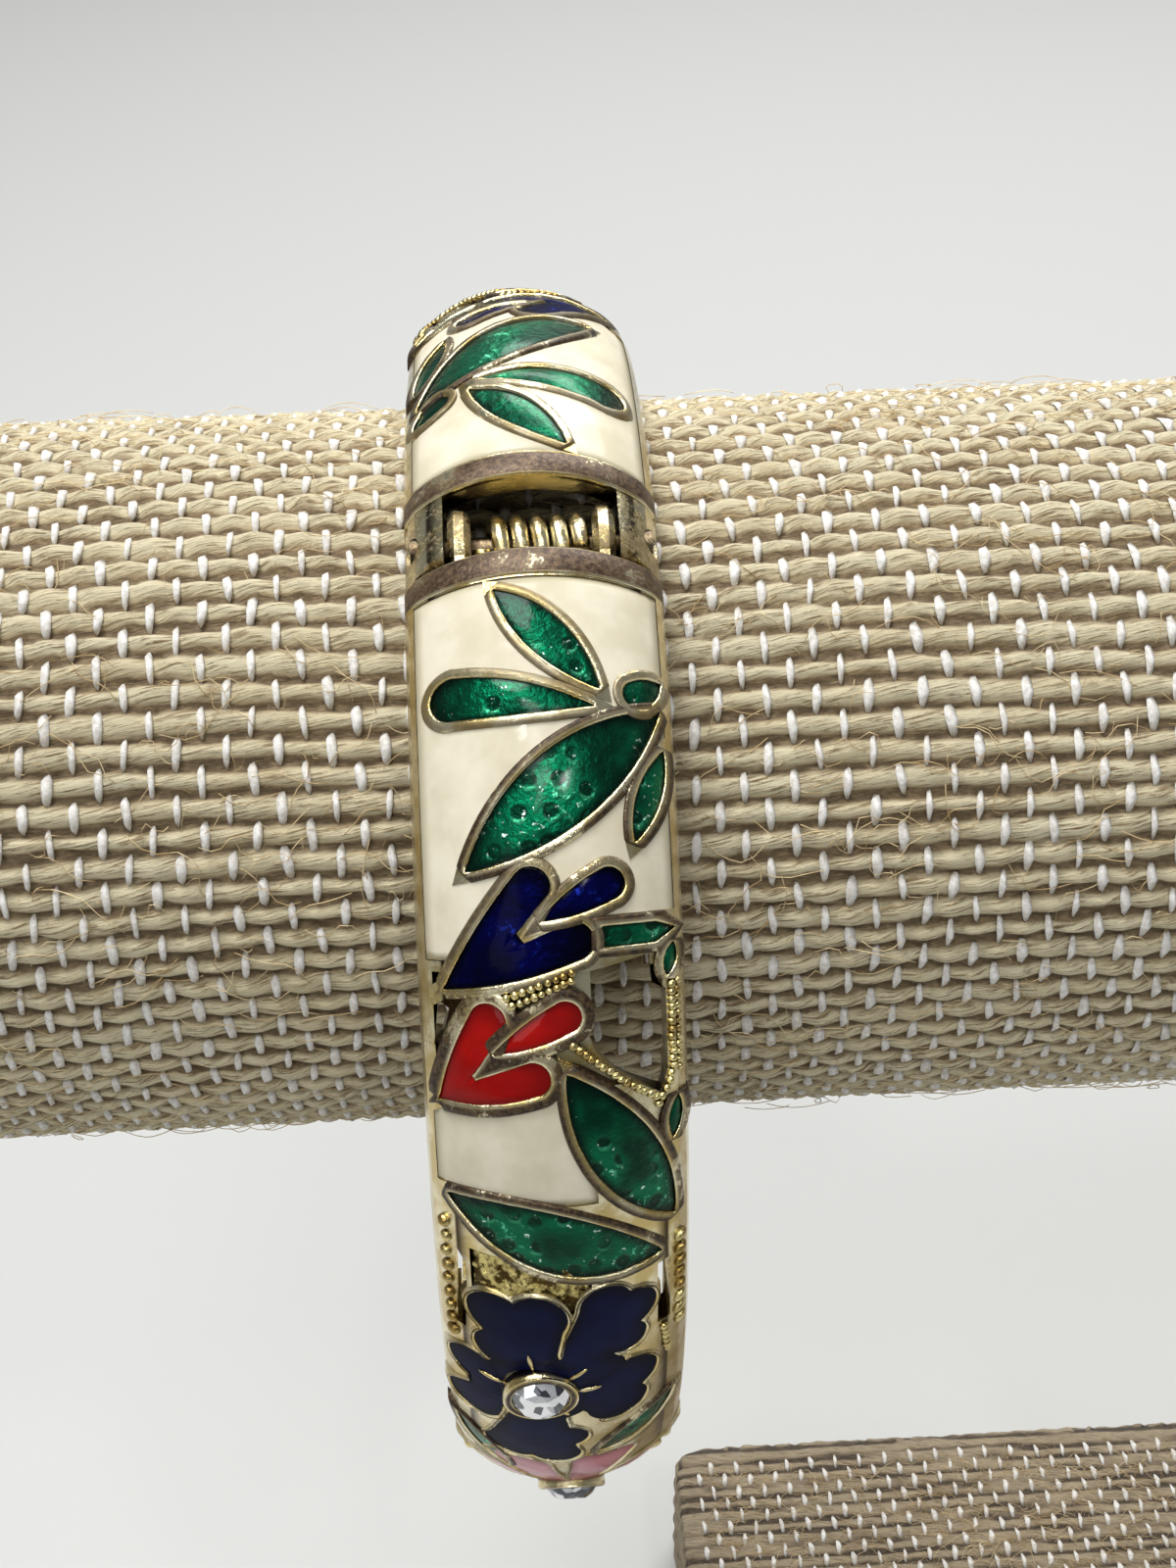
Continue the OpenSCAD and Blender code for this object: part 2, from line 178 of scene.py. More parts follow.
def makeGilt(name, worn=0.0, hammered=0.3, cast=False, tones=("bright", "warm"),
             browns=("tarnish", "tarnishLight"), blotches=1.9):
    material, tree, shader, place = newFinish(name)
    blotch = cloud(place, blotches * mm, 4)
    grain = cloud(place, giltSizes["grain"] * mm, 5, 0.72)
    # patina and painted shade: darker towards the deep tone in crevices and between parts, by ambient occlusion,
    # partly the old gilt's antique patina, partly painted shade
    shade = shaderNode(tree, "AmbientOcclusion", {"Distance": giltSizes["crevice"] * mm}, samples=6)
    patinaAndShade = times(fade(shade.outputs["AO"], 0.15, 0.8, 0.9, 0), fade(grain, 0.2, 0.6, 0.6, 1))
    colour = mix(patinaAndShade, mix(fade(blotch, 0.4, 0.6), *[giltLook[tone] for tone in tones]), giltLook["deep"])
    polish = giltLook["polish"]
    rough = fade(grain, 0.3, 0.7, polish, polish + giltLook["unevenPolish"])
    metallic = 1
    if worn or cast:
        brown = mix(fade(grain, 0.38, 0.66), *[giltLook[tone] for tone in browns])
        mottle = plus(times(grain, 0.5), times(blotch, 0.5))
        if cast:
            inside, hinge = insideCasting(place)
            wear = times(hinge, fade(mottle, 0.46, 0.6, 0.05, 0.85))
        else:
            patch = cloud(place, giltSizes["patch"] * mm, 2)
            low = 0.64 - 0.32 * worn
            spread = fade(plus(mottle, fade(patch, 0.3, 0.7, -0.12, 0.12)), low, low + 0.12, 0.1, 1)
            wear = times(readAttribute(tree, "flat"), spread)
        colour = mix(wear, colour, brown)
        rough = fade(wear, 0, 1, polish, giltLook["dull"])
        metallic = fade(wear, 0, 1, 1, giltLook["tarnishedMetal"])
    if cast:
        # painted shade: the inside of the hollow casting is painted dark brown, except on the worn mottle by the
        # hinge
        colour = mix(times(inside, less(1, wear)), colour, giltLook["insideShade"])
    dents = plus(grain, cloud(place, giltSizes["dents"] * mm, 2))
    setInputs(shader, {"Base Color": colour, "Roughness": rough, "Metallic": metallic,
                       "Normal": bumps(dents, hammered, giltSizes["dentDepth"])})
    return material


# pits in the enamel's ground, each with a painted highlight beside it: millimetres between them, then shares of that
pitLook = {"spacing": 1.3, "radius": 0.27, "soft": 0.09, "shuffle": 0.5, "glintShift": 0.13, "glint": 0.2,
           "depth": 0.5}


def pitAway(flat, shift):
    moved = shaderNode(flat.id_data, "VectorMath", {0: flat, 1: (0.0, -shift * pitLook["spacing"], 0.0)})
    inputs = {"Vector": moved.outputs[0], "Scale": 1 / pitLook["spacing"], "Randomness": pitLook["shuffle"]}
    away = shaderNode(flat.id_data, "TexVoronoi", inputs, voronoi_dimensions="2D").outputs["Distance"]
    return fade(away, pitLook["radius"] - pitLook["soft"], pitLook["radius"] + pitLook["soft"] / 2, 1, 0)


# sheer enamel over beaten foil, with painted glints and painted white sparks, in millimetres, with the roughness of
# the foil and of the surface
sheerLook = {"drift": 3.0, "beaten": 0.42, "beatenDepth": 0.2, "spark": 0.26, "sparkTone": srgb(225, 255, 240),
             "rough": 0.32, "satin": 0.12}


def makeSheerEnamel(name, deep, light, glint, pits, metallic=0.75, gloss=0.25):
    material, tree, shader, place = newFinish(name)
    drift = cloud(place, sheerLook["drift"] * mm, 2)
    depth = fade(readAttribute(tree, "depth"), 0, 0.5)
    tone = times(fade(drift, 0.34, 0.62, 0.2, 1), depth)
    height = beaten = cloud(place, sheerLook["beaten"] * mm, 3, 0.6)
    # painted highlight: glint-coloured patches where the beaten foil and the slow drift peak, as if the foil caught
    # the light
    paintedGlintPatches = times(fade(beaten, 0.56, 0.68), fade(drift, 0.5, 0.66))
    colour = mix(times(paintedGlintPatches, depth), mix(tone, deep, light), glint)
    if pits:
        flat = readAttribute(tree, "flatPlace", "Vector")
        patches = fade(cloud(place, sheerLook["drift"] * mm, 1), 0.44, 0.52)
        where = times(patches, readAttribute(tree, "pitted"))
        pit = pitAway(flat, 0)
        # painted highlight: a bright crescent on one side of each pit, as if light fell into it from above
        paintedCrescent = less(pitAway(flat, pitLook["glintShift"]), pit)
        colour = mix(times(times(pit, pits), where), colour, deep)
        bright = times(fade(paintedCrescent, 0.1, 0.8), times(where, tone))
        colour = mix(times(bright, pitLook["glint"]), colour, glint)
        # painted highlights: small white sparks in the pitted parts of the enamel
        spark = times(fade(cloud(place, sheerLook["spark"] * mm, 2), 0.66, 0.72), where)
        colour = mix(times(spark, depth), colour, sheerLook["sparkTone"])
        height = less(beaten, times(times(pit, where), pitLook["depth"]))
    setInputs(shader, {"Base Color": colour, "Metallic": metallic, "Roughness": sheerLook["rough"],
                       "Normal": bumps(height, 0.7, sheerLook["beatenDepth"])})
    return setGlaze(material, shader, gloss, sheerLook["satin"])


solidLook = {"drift": 2.6, "wave": 1.1, "waveDepth": 0.1, "rough": 0.38}


def makeSolidEnamel(name, deep, light, gloss=0.7, satin=0.05):
    material, tree, shader, place = newFinish(name)
    tone = times(fade(cloud(place, solidLook["drift"] * mm, 3), 0.3, 0.7, 0.4, 1),
                 fade(readAttribute(tree, "depth"), 0, 0.6, 0.1, 1))
    wave = bumps(cloud(place, solidLook["wave"] * mm, 2), 0.25, solidLook["waveDepth"])
    setInputs(shader, {"Base Color": mix(tone, deep, light), "Roughness": solidLook["rough"], "Normal": wave,
                       "Coat Normal": wave})
    return setGlaze(material, shader, gloss, satin)


def setGlaze(material, shader, gloss, satin):
    setInputs(shader, {"Specular IOR Level": 0, "Coat Weight": gloss, "Coat Roughness": satin, "Coat IOR": 1.45})
    return material


stoneLook = {"facet": 0.55, "dark": srgb(84, 86, 94), "bright": srgb(252, 252, 254), "foil": 0.75, "rough": 0.12}


def makeStone():
    # foil behind cut glass, with painted reflections: cells of dark and bright colour, as if each facet caught other
    # light
    material, tree, shader, place = newFinish("cutGlass")
    facets = shaderNode(tree, "TexVoronoi", {"Vector": place, "Scale": 1 / (stoneLook["facet"] * mm)})
    tone = shaderNode(tree, "SeparateColor", {0: facets.outputs["Color"]}).outputs[0]
    setInputs(shader, {"Base Color": mix(fade(tone, 0.25, 0.85), stoneLook["dark"], stoneLook["bright"]),
                       "Metallic": stoneLook["foil"], "Roughness": stoneLook["rough"]})
    return setGlaze(material, shader, 1.0, 0.0)


threads = {"acrossPitch": 1.2, "rowPitch": 1.33}   # millimetres between white threads, and between jute rows
juteLook = {"rough": 0.85, "sheen": 0.12, "sheenRough": 0.5, "fuzzHeight": 0.3, "fibreDepth": 0.36}


def makeBurlap(name, look):
    material, tree, shader = newMaterial(name)
    weave = shaderNode(tree, "UVMap", uv_map="weave").outputs[0]
    along, around = shaderNode(tree, "SeparateXYZ", {0: weave}).outputs[:2]
    row = calc("FLOOR", around)
    yarn = readAttribute(tree, "yarn")

    def stretched(x, y, z=0.0):
        return shaderNode(tree, "CombineXYZ", {0: x, 1: y, 2: z}).outputs[0]

    twisted = plus(times(around, 9.5), times(along, 1.5))
    fibre = cloud(stretched(times(along, 0.62), twisted, row), 0.8, 5, 0.68)
    fuzz = cloud(stretched(times(along, 1.6), times(around, 5.0), 3.7), 0.8, 6, 0.75)
    slub = cloud(stretched(times(along, 0.16), row), 1.0, 2)
    # the strands in streaks of light and shade, partly the fibres' own tones, partly painted highlights
    jute = mix(fade(fibre, 0.37, 0.5), look["shade"], look["light"])
    jute = mix(fade(slub, 0.3, 0.7, 0, 0.4), jute, look["warm"])
    jute = mix(fade(fuzz, 0.57, 0.64, 0, 0.6), jute, look["light"])
    # painted shade: the yarn is darker towards the edges of its row
    jute = mix(fade(yarn, 0.55, 0.95, 0, 0.65), jute, look["under"])
    # between the rows the lining shows, in its own tones darkened by painted shade
    lining = mix(fade(fuzz, 0.42, 0.62), look["gap"], look["under"])
    jute = mix(fade(plus(yarn, times(fibre, 0.55)), 1.16, 1.36), jute, lining)
    height = plus(fibre, times(fuzz, juteLook["fuzzHeight"]))
    setInputs(shader, {"Base Color": jute, "Roughness": juteLook["rough"], "Sheen Weight": juteLook["sheen"],
                       "Sheen Roughness": juteLook["sheenRough"],
                       "Normal": bumps(height, 1.0, juteLook["fibreDepth"])})
    return material


def makeThread(name, low, high, size, ends=None):
    material, tree, shader, place = newFinish(name)
    tone = cloud(place, size * mm, 3, 0.65)
    colour = mix(fade(tone, 0.3, 0.7), low, high)
    if ends:
        # painted shade: darker towards the thread's ends, more at one end, where it dives between the rows
        colour = mix(fade(readAttribute(tree, "dive"), 0.35, 1.0, 0, 0.55), colour, ends)
    setInputs(shader, {"Base Color": colour, "Roughness": 0.8, "Normal": bumps(tone, 0.4, 0.06)})
    return material


# under is painted shade at the yarn's edges, gap the lining's tone with painted shade
burlapLook = {"light": srgb(255, 243, 205), "shade": srgb(140, 112, 70), "warm": srgb(228, 205, 156),
              "under": srgb(174, 150, 112), "gap": srgb(134, 112, 80)}
# painted shade: the same cloth in darker tones, for the base, as if it lay in shadow
shadedLook = {"light": srgb(190, 172, 142), "shade": srgb(124, 104, 76), "warm": srgb(162, 142, 112),
              "under": srgb(104, 86, 62), "gap": srgb(66, 52, 34)}

# the ring that both halves follow, in millimetres
ringSizes = {"outer": 33.0, "pinRadius": 30.1, "crownRadius": 7.3}
outer, pinRadius, crown = ringSizes.values()
halfLength = outer * pi
hingeTurn = asin(-pinPlace.y / pinRadius)
ringCentre = Vector((pinPlace.x, 0, pinPlace.z - pinRadius * cos(hingeTurn)))
halfBodies = {"upper": "stand_body", "lower": "lower_body"}

gilt = makeGilt("antiqueGilt")
wornGilt = makeGilt("wornGilt", worn=0.95, browns=("rimDark", "rimLight"))
collarGilt = makeGilt("collarGilt", worn=0.9, browns=("collarDark", "collarLight"))
# painted highlights: the hammered ground is painted in small random spots of bright glint on the dark hollow tone,
# which is painted shade
groundGilt = makeGilt("groundGilt", hammered=0.9, tones=("paintedGlint", "hollow"), blotches=0.5)
beadGilt = makeGilt("beadGilt", tones=("sunlit", "amber"))
pinGilt = makeGilt("pinGilt", tones=("tarnishLight", "tarnish"))
castGilt = makeGilt("castGilt", cast=True)
enamels = {
    "cream": makeSolidEnamel("creamEnamel", srgb(196, 186, 156), srgb(227, 219, 197), gloss=0.3, satin=0.12),
    "green": makeSheerEnamel("greenEnamel", srgb(0, 26, 19), srgb(3, 110, 73), srgb(120, 250, 192), pits=0.8),
    "blue": makeSheerEnamel("blueEnamel", srgb(0, 1, 14), srgb(2, 5, 62), srgb(24, 44, 150), pits=0, metallic=0.5,
                            gloss=0.09),
    "red": makeSolidEnamel("redEnamel", srgb(112, 6, 5), srgb(166, 16, 11), gloss=0.5),
    "navy": makeSolidEnamel("navyEnamel", srgb(3, 5, 22), srgb(12, 19, 60), gloss=0.22, satin=0.3),
    "pink": makeSolidEnamel("pinkEnamel", srgb(160, 84, 98), srgb(212, 140, 150))}
cutGlass = makeStone()
burlap = makeBurlap("burlapCloth", burlapLook)
shadedBurlap = makeBurlap("shadedBurlap", shadedLook)
# the last colour is the painted shade at the white threads' ends
whiteThread = makeThread("whiteThread", srgb(204, 198, 188), srgb(238, 236, 232), 0.3, srgb(150, 138, 118))
looseFibre = makeThread("looseFibre", srgb(188, 156, 106), srgb(240, 220, 176), 2.0)
print("finishes made")


def halfMatrix(half):
    turned = Matrix.Rotation(pi if half == "upper" else 0, 4, "Z")
    return Matrix.Scale(mm, 4) @ Matrix.Translation(ringCentre) @ Matrix.Rotation(hingeTurn, 4, "X") @ turned


def rotated(x, y, angle):
    c, s = cos(angle), sin(angle)
    return x * c - y * s, x * s + y * c


def onCrown(along, across, x, y, height):
    reach = crown + height
    side = max(-reach + 0.05, min(reach - 0.05, across + x))
    rise = outer - crown + sqrt(reach * reach - side * side)
    return Vector((across + x, *rotated(y, sqrt(rise * rise - y * y), along / outer)))


# flat outlines in millimetres: convex shapes whose union is a motif, with its edge moved out by grow

curveSteps = {"leaf": 24, "blunt": 20, "lobe": 32, "round": 40}


def arc(x, y, radius, start, end, steps):
    angles = [radians(start + (end - start) * i / steps) for i in range(steps + 1)]
    return [(x + radius * cos(a), y + radius * sin(a)) for a in angles]


def leafShape(length, width, grow):
    radius = (length * length + width * width) / (4 * width)
    half = degrees(asin(min(1, length / 2 / (radius + grow * 0.5))))
    low = arc(0, radius - width / 2, radius + grow, -90 - half, -90 + half, curveSteps["leaf"])
    return low + arc(0, width / 2 - radius, radius + grow, 90 - half, 90 + half, curveSteps["leaf"])


def bluntShape(length, width, grow):
    endX = width / 2 - length / 2
    right = [(x + endX, y) for x, y in leafShape(2 * length - width, width * 0.97, grow) if x >= 0]
    return arc(endX, 0, width / 2 + grow, 90, 270, curveSteps["blunt"]) + right


def alone(shape, length, width, grow):
    return [shape(length, width, grow)]


budCut = {"back": 0.15}


def budShapes(lobes, filled, grow):
    shapes, ends = [], []
    for length, width, turn in lobes:
        shapes.append([rotated(length / 2 - x, y, radians(turn)) for x, y in bluntShape(length, width, grow)])
        ends.append(rotated(filled * length, 0, radians(turn)))
    middle = sum(lobe[2] for lobe in lobes) / 2
    return shapes + [[rotated(-budCut["back"] - grow, 0, radians(middle)), *ends]]


petalCut = {"start": 2.15, "lobeBack": 0.1, "lobeIn": 0.08, "notchOut": 0.3, "hub": (0.38, 0.4),
            "joinHub": (1.5, 0)}


def petalShapes(neck, lobes, grow):
    low, high = lobes[:2]
    start, back, edge = petalCut["start"] - grow, petalCut["lobeBack"], petalCut["lobeIn"] - grow
    body = [(start, -neck - grow), (low[0] - back, low[1] - low[2] + edge),
            ((low[0] + high[0]) / 2 + petalCut["notchOut"], (low[1] + high[1]) / 2),
            (high[0] - back, high[1] + high[2] - edge), (start, neck + grow)]
    return [arc(x, y, radius + grow, 0, 360, curveSteps["lobe"]) for x, y, radius in lobes] + [body]


stemCut = {"back": -1.4, "half": 0.45, "shoulder": 1.0, "tip": (1.9, 0.1)}


def stemShapes(grow):
    back, half, shoulder = stemCut["back"] - grow, stemCut["half"] + grow, stemCut["shoulder"] + grow
    return [[(back, half), (back, -half), (shoulder, -half), (stemCut["tip"][0] + grow, stemCut["tip"][1]),
             (shoulder, half)]]


def cross(a, b):
    return a.real * b.imag - a.imag * b.real


def farthest(shapes, hub, angles):
    # how far the union of the shapes reaches from the hub, at each angle
    rays = (np.cos(angles) + 1j * np.sin(angles))[:, None]
    best = np.zeros(len(angles))
    for shape in shapes:
        a = (np.array(shape) - hub) @ (1, 1j)
        d = np.roll(a, -1) - a
        with np.errstate(divide="ignore", invalid="ignore"):
            t, u = [cross(a, side) / cross(rays, d) for side in (d, rays)]
        hit = np.isfinite(t) & (t > 0) & (u > -1e-6) & (u < 1 + 1e-6)
        best = np.maximum(best, np.where(hit, t, 0).max(1))
    return best


def evenAngles(shapes, hub, count, fine=1440):
    # angles that lie evenly along the outline, from its farthest point on
    angles = np.linspace(0, 2 * pi, fine, endpoint=False)
    reach = farthest(shapes, hub, angles)
    start = int(reach.argmax())
    angles, reach = np.roll(angles, -start), np.roll(reach, -start)
    angles = np.where(angles < angles[0], angles + 2 * pi, angles)
    points = np.stack([reach * np.cos(angles), reach * np.sin(angles)], 1)
    steps = np.linalg.norm(np.roll(points, -1, 0) - points, axis=1)
    travelled = np.cumsum([0, *steps])
    marks = np.linspace(0, travelled[-1], count, endpoint=False)
    return np.interp(marks, travelled, np.append(angles, angles[0] + 2 * pi))


# the layout: distance along the half, place across it, length, width, turn, and whether the shape comes again,
# mirrored, at the same distance from the half's free end

leaves = [(6.6, 0.4, 6.6, 1.9, -47.5, True), (13.4, 0.85, 11.2, 3.3, 38, True), (13.8, 4.55, 4.4, 1.1, 70, False),
          (29.9, 2.75, 9.4, 2.9, -60, True), (34.2, -0.3, 10.2, 3.2, -20, True), (29.0, 5.2, 2.0, 0.6, 82, False),
          (21.3, 5.15, 1.5, 0.55, 76, False), (49.9, 3.3, 5.2, 1.7, 42, False), (53.2, -4.3, 5.0, 1.3, -62, False)]
bluntLeaves = [(9.4, -1.2, 7.2, 2.0, -7, True), (8.9, 4.55, 2.0, 1.3, 35, False)]
stemPlace = (19.95, 3.55)
# lobes as length, width and turn
buds = {
    "blue": {"tip": (22.15, -4.7), "lobes": [(6.8, 1.7, 49), (6.9, 1.7, 20)], "filled": 0.62, "hub": (2.3, 1.58),
             "petal": (18.26, 1.35, 4.1, 1.45, 206), "closed": (84.3, -2.6, 6.6, 2.4, -48)},
    "red": {"tip": (27.45, -5.12), "lobes": [(5.3, 1.55, 60), (5.1, 1.6, 19)], "filled": 0.42, "hub": (1.16, 0.95),
            "petal": (23.96, -0.81, 4.25, 1.45, 207), "closed": (78.9, -2.9, 5.4, 2.0, -40)}}
# petals as turn, half the neck's width and round lobes, each a place and a radius
flowers = {
    "navy": {"centre": (44.1, -1.3), "joins": [(33, 0.7, [(3.5, -0.45, 0.8), (3.5, 0.45, 0.8)])], "petals": [
        (100, 0.85, [(5.25, -0.95, 1.15), (5.25, 0.95, 1.15), (3.0, 1.25, 1.0)]),
        (56, 0.45, [(6.6, -0.7, 1.0), (6.6, 0.7, 1.0), (5.0, -1.45, 0.8)]),
        (-13, 0.95, [(3.95, -1.05, 1.25), (3.95, 1.05, 1.25)]),
        (-94, 1.0, [(6.9, -1.05, 1.1), (6.9, 1.05, 1.1), (4.6, 1.4, 0.95)]),
        (200, 0.9, [(2.7, -1.51, 0.95), (3.89, 1.62, 1.05)])]},
    "pink": {"centre": (60.6, 0.1), "joins": [], "petals": [
        (78, 0.45, [(7.56, -0.56, 0.84), (7.56, 0.56, 0.84)]),
        (24, 0.8, [(4.4, -0.8, 1.2), (4.4, 0.8, 1.2)]),
        (-50, 0.9, [(4.92, -0.72, 1.08), (4.92, 0.72, 1.08)]),
        (-128, 0.9, [(4.92, -0.72, 1.08), (4.92, 0.72, 1.08)]),
        (156, 0.8, [(4.4, -0.8, 1.2), (4.4, 0.8, 1.2)]),
        (112, 0.45, [(7.0, -0.6, 0.84), (7.0, 0.6, 0.84)])]}}
# where a flower's petals run together round its stone: their rims start outside this, or further out by a join
heart = {"radius": 2.75, "rimsFrom": 2.85, "joinedTo": 4.3, "joinWithin": 50, "swell": 0.2, "noRim": 9}
outlinePoints = {"leaf": 56, "petal": 96}


def allMotifs():
    found = []

    def add(colour, along, across, turn, build, hub=(0, 0), again=False, points="leaf", **more):
        for place, mirror in ((along, 1), (halfLength - along, -1))[:1 + again]:
            found.append({"colour": colour, "along": place, "across": across, "turn": turn, "mirror": mirror,
                          "hub": np.array(hub, float), "build": build, "points": outlinePoints[points], **more})

    for shape, rows in ((leafShape, leaves), (bluntShape, bluntLeaves)):
        for along, across, length, width, turn, again in rows:
            add("green", along, across, turn, partial(alone, shape, length, width), again=again)
    add("green", *stemPlace, 0, stemShapes, again=True)
    for colour, bud in buds.items():
        add(colour, *bud["tip"], 0, partial(budShapes, bud["lobes"], bud["filled"]), bud["hub"], points="petal")
        for kind, shape in (("petal", bluntShape), ("closed", leafShape)):
            along, across, length, width, turn = bud[kind]
            add(colour, along, across, turn, partial(alone, shape, length, width))
    for colour, flower in flowers.items():
        for turn, neck, lobes in flower["petals"]:
            hub = np.sum(lobes[:2], 0)[:2] * petalCut["hub"]
            joined = any(abs(turn - join[0]) < heart["joinWithin"] for join in flower["joins"])
            add(colour, *flower["centre"], turn, partial(petalShapes, neck, lobes), hub, points="petal",
                clear=heart["joinedTo"] if joined else heart["rimsFrom"], swell=heart["swell"])
        for turn, neck, lobes in flower["joins"]:
            add(colour, *flower["centre"], turn, partial(petalShapes, neck, lobes), petalCut["joinHub"],
                points="petal", clear=heart["noRim"])
        add(colour, *flower["centre"], 0, clear=heart["noRim"],
            build=lambda grow: [arc(0, 0, heart["radius"] + grow, 0, 360, curveSteps["round"])])
    return found


# meshes

def pick(geom, kind):
    return [g for g in geom if isinstance(g, getattr(bmesh.types, kind))]


def loftRings(bm, rings, marks, closeEnds=True):
    # marks give each ring its attributes, as one value or as a list with one for each point
    order = bm.verts.layers.int.get("order") or bm.verts.layers.int.new("order")
    layers = {name: bm.verts.layers.float.get(name) or bm.verts.layers.float.new(name) for name in marks[0]}
    made = bmesh.ops.create_circle(bm, segments=len(rings[0]), radius=1)["verts"]
    for i, v in enumerate(made):
        v[order] = i
    first = edges = list(dict.fromkeys(e for v in made for e in v.link_edges))
    for number, (ring, mark) in enumerate(zip(rings, marks)):
        if number:
            grown = bmesh.ops.extrude_edge_only(bm, edges=edges)["geom"]
            made = set(pick(grown, "BMVert"))
            edges = [e for e in pick(grown, "BMEdge") if set(e.verts) <= made]
        for v in made:
            v.co = ring[v[order]]
            for name, value in mark.items():
                v[layers[name]] = value[v[order]] if isinstance(value, list) else value
    if closeEnds:
        bmesh.ops.contextual_create(bm, geom=edges)
        bmesh.ops.contextual_create(bm, geom=first)
    else:
        bmesh.ops.bridge_loops(bm, edges=first + edges)


def readRows(items, name):
    rows = np.zeros((len(items), 3))
    items.foreach_get(name, rows.ravel())
    return rows


def setPoints(mesh, co):
    mesh.vertices.foreach_set("co", (co * mm).ravel())


def markPoints(mesh, name, values):
    mesh.attributes.new(name, "FLOAT", "POINT").data.foreach_set("value", values)


def meshFrom(bm, name):
    mesh = bpy.data.meshes.new(name)
    bm.to_mesh(mesh)
    bm.free()
    return mesh


def putMesh(name, mesh, material, body, stands=()):
    mesh.name = name
    mesh.shade_smooth()
    mesh.materials.append(material)
    piece = addObject(name, mesh)
    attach(piece, body)
    if stands:
        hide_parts(*stands)
    return piece


def putPiece(name, bm, material, body, stands, matrix):
    bmesh.ops.transform(bm, matrix=matrix, verts=bm.verts)
    bmesh.ops.recalc_face_normals(bm, faces=bm.faces)
    return putMesh(name, meshFrom(bm, name), material, body, stands)


def putOnHalf(half, name, bm, material, slotName="gilt_metal", stands=(), matrix=None):
    return putPiece(half + name, bm, material, halfBodies[half], stands, matrix or halfMatrix(half))


def motifRing(motif, angles, grow, height, scale=1.0, sinkWithin=0):
    hub = motif["hub"]
    reach = farthest(motif["build"](grow + motif.get("swell", 0)), hub, angles) * scale
    ring = []
    for angle, far in zip(angles, reach):
        x, y = rotated(hub[0] + far * cos(angle), hub[1] + far * sin(angle), radians(motif["turn"]))
        sunk = max(0, min(1, (sinkWithin - hypot(x, y)) / rims["sinkOver"])) * rims["sinkBy"]
        ring.append(onCrown(motif["along"], motif["across"], x, y * motif["mirror"], height - sunk))
    return ring


fill = {"foot": -0.4, "grow": 0.02, "scales": (0.97, 0.92, 0.84, 0.72, 0.56, 0.36, 0.16), "smoothing": 6,
        "smoothPast": 0.1}
fillLevels = {"green": (-0.03, 0.09), "blue": (-0.03, 0.08), "red": (-0.03, 0.08), "navy": (0.02, 0.05),
              "pink": (0.02, 0.05)}   # how high a fill lies at its edge, and how much it rises from there
rimSizes = {"green": (0.45, 0.13, 1.0), "blue": (0.46, 0.13, 0.9), "red": (0.58, 0.12, 1.2),
            "navy": (0.24, 0.10, 0.3), "pink": (0.24, 0.10, 0.3)}   # how wide, high and worn a motif's rim is
rims = {"brightUntil": 10.5, "brightWorn": 0.72, "innerWorn": 0.7, "foot": -0.3, "seed": 7, "lumps": 0.75,
        "roughness": 0.014, "sinkBy": 0.35, "sinkOver": 0.15}


def addFill(bm, motif, angles):
    edge, dome = fillLevels[motif["colour"]]
    rings = [motifRing(motif, angles, fill["grow"], height) for height in (fill["foot"], edge)]
    marks = [{"depth": 0.0, "pitted": motif.get("pitted", 1.0)}] * 2
    for scale in fill["scales"]:
        inside = 1 - scale * scale
        rings.append(motifRing(motif, angles, 0.0, edge + dome * inside, scale))
        marks.append({**marks[0], "depth": inside})
    before = set(bm.verts)
    loftRings(bm, rings, marks)
    depth = bm.verts.layers.float["depth"]
    inner = [v for v in bm.verts if v[depth] > fill["smoothPast"] and v not in before]
    for again in range(fill["smoothing"]):
        bmesh.ops.smooth_vert(bm, verts=inner, factor=0.5, use_axis_x=True, use_axis_y=True, use_axis_z=True)


def addRim(bm, motif, angles):
    width, top, worn = rimSizes[motif["colour"]]
    if motif["along"] < rims["brightUntil"]:
        worn *= rims["brightWorn"]
    # how far out from the motif's edge, how high and how worn
    section = [(width, rims["foot"], worn), (width - 0.01, 0.02, worn), (width - 0.06, top * 0.75, worn),
               (width * 0.62, top, worn), (0.15, top, worn * rims["innerWorn"]), (0.05, top * 0.8, 0),
               (-0.02, 0.02, 0), (-0.02, rims["foot"], 0)]
    rings = [motifRing(motif, angles, *row[:2], sinkWithin=motif.get("clear", 0)) for row in section]
    loftRings(bm, rings, [{"flat": row[2]} for row in section], False)


lumpLook = {"waves": 24, "share": 5, "most": 1.2}


def roughen(piece, seed, size, amount):
    # small lumps, in and out from the bangle's middle, as in worn cast metal
    draw = random.Random(seed)
    co = readRows(piece.data.vertices, "co") / mm
    lumps = np.zeros(len(co))
    for wave in range(lumpLook["waves"]):
        heading = np.array([draw.uniform(-1, 1) for axis in range(3)])
        lumps += np.sin(co @ heading * aboutATurn / size + draw.uniform(0, aboutATurn)) / lumpLook["share"]
    outward = co - np.array(ringCentre)
    outward[:, 0] = 0
    outward /= np.linalg.norm(outward, axis=1)[:, None]
    co += outward * (np.clip(lumps, -lumpLook["most"], lumpLook["most"]) * amount)[:, None]
    setPoints(piece.data, co)


def markFlatPlace(piece, half):
    back = halfMatrix(half).inverted()
    places = []
    for v in piece.data.vertices:
        local = back @ v.co
        places += [local.x, atan2(-local.y, local.z) % (2 * pi) * outer, 0]
    piece.data.attributes.new("flatPlace", "FLOAT_VECTOR", "POINT").data.foreach_set("vector", places)


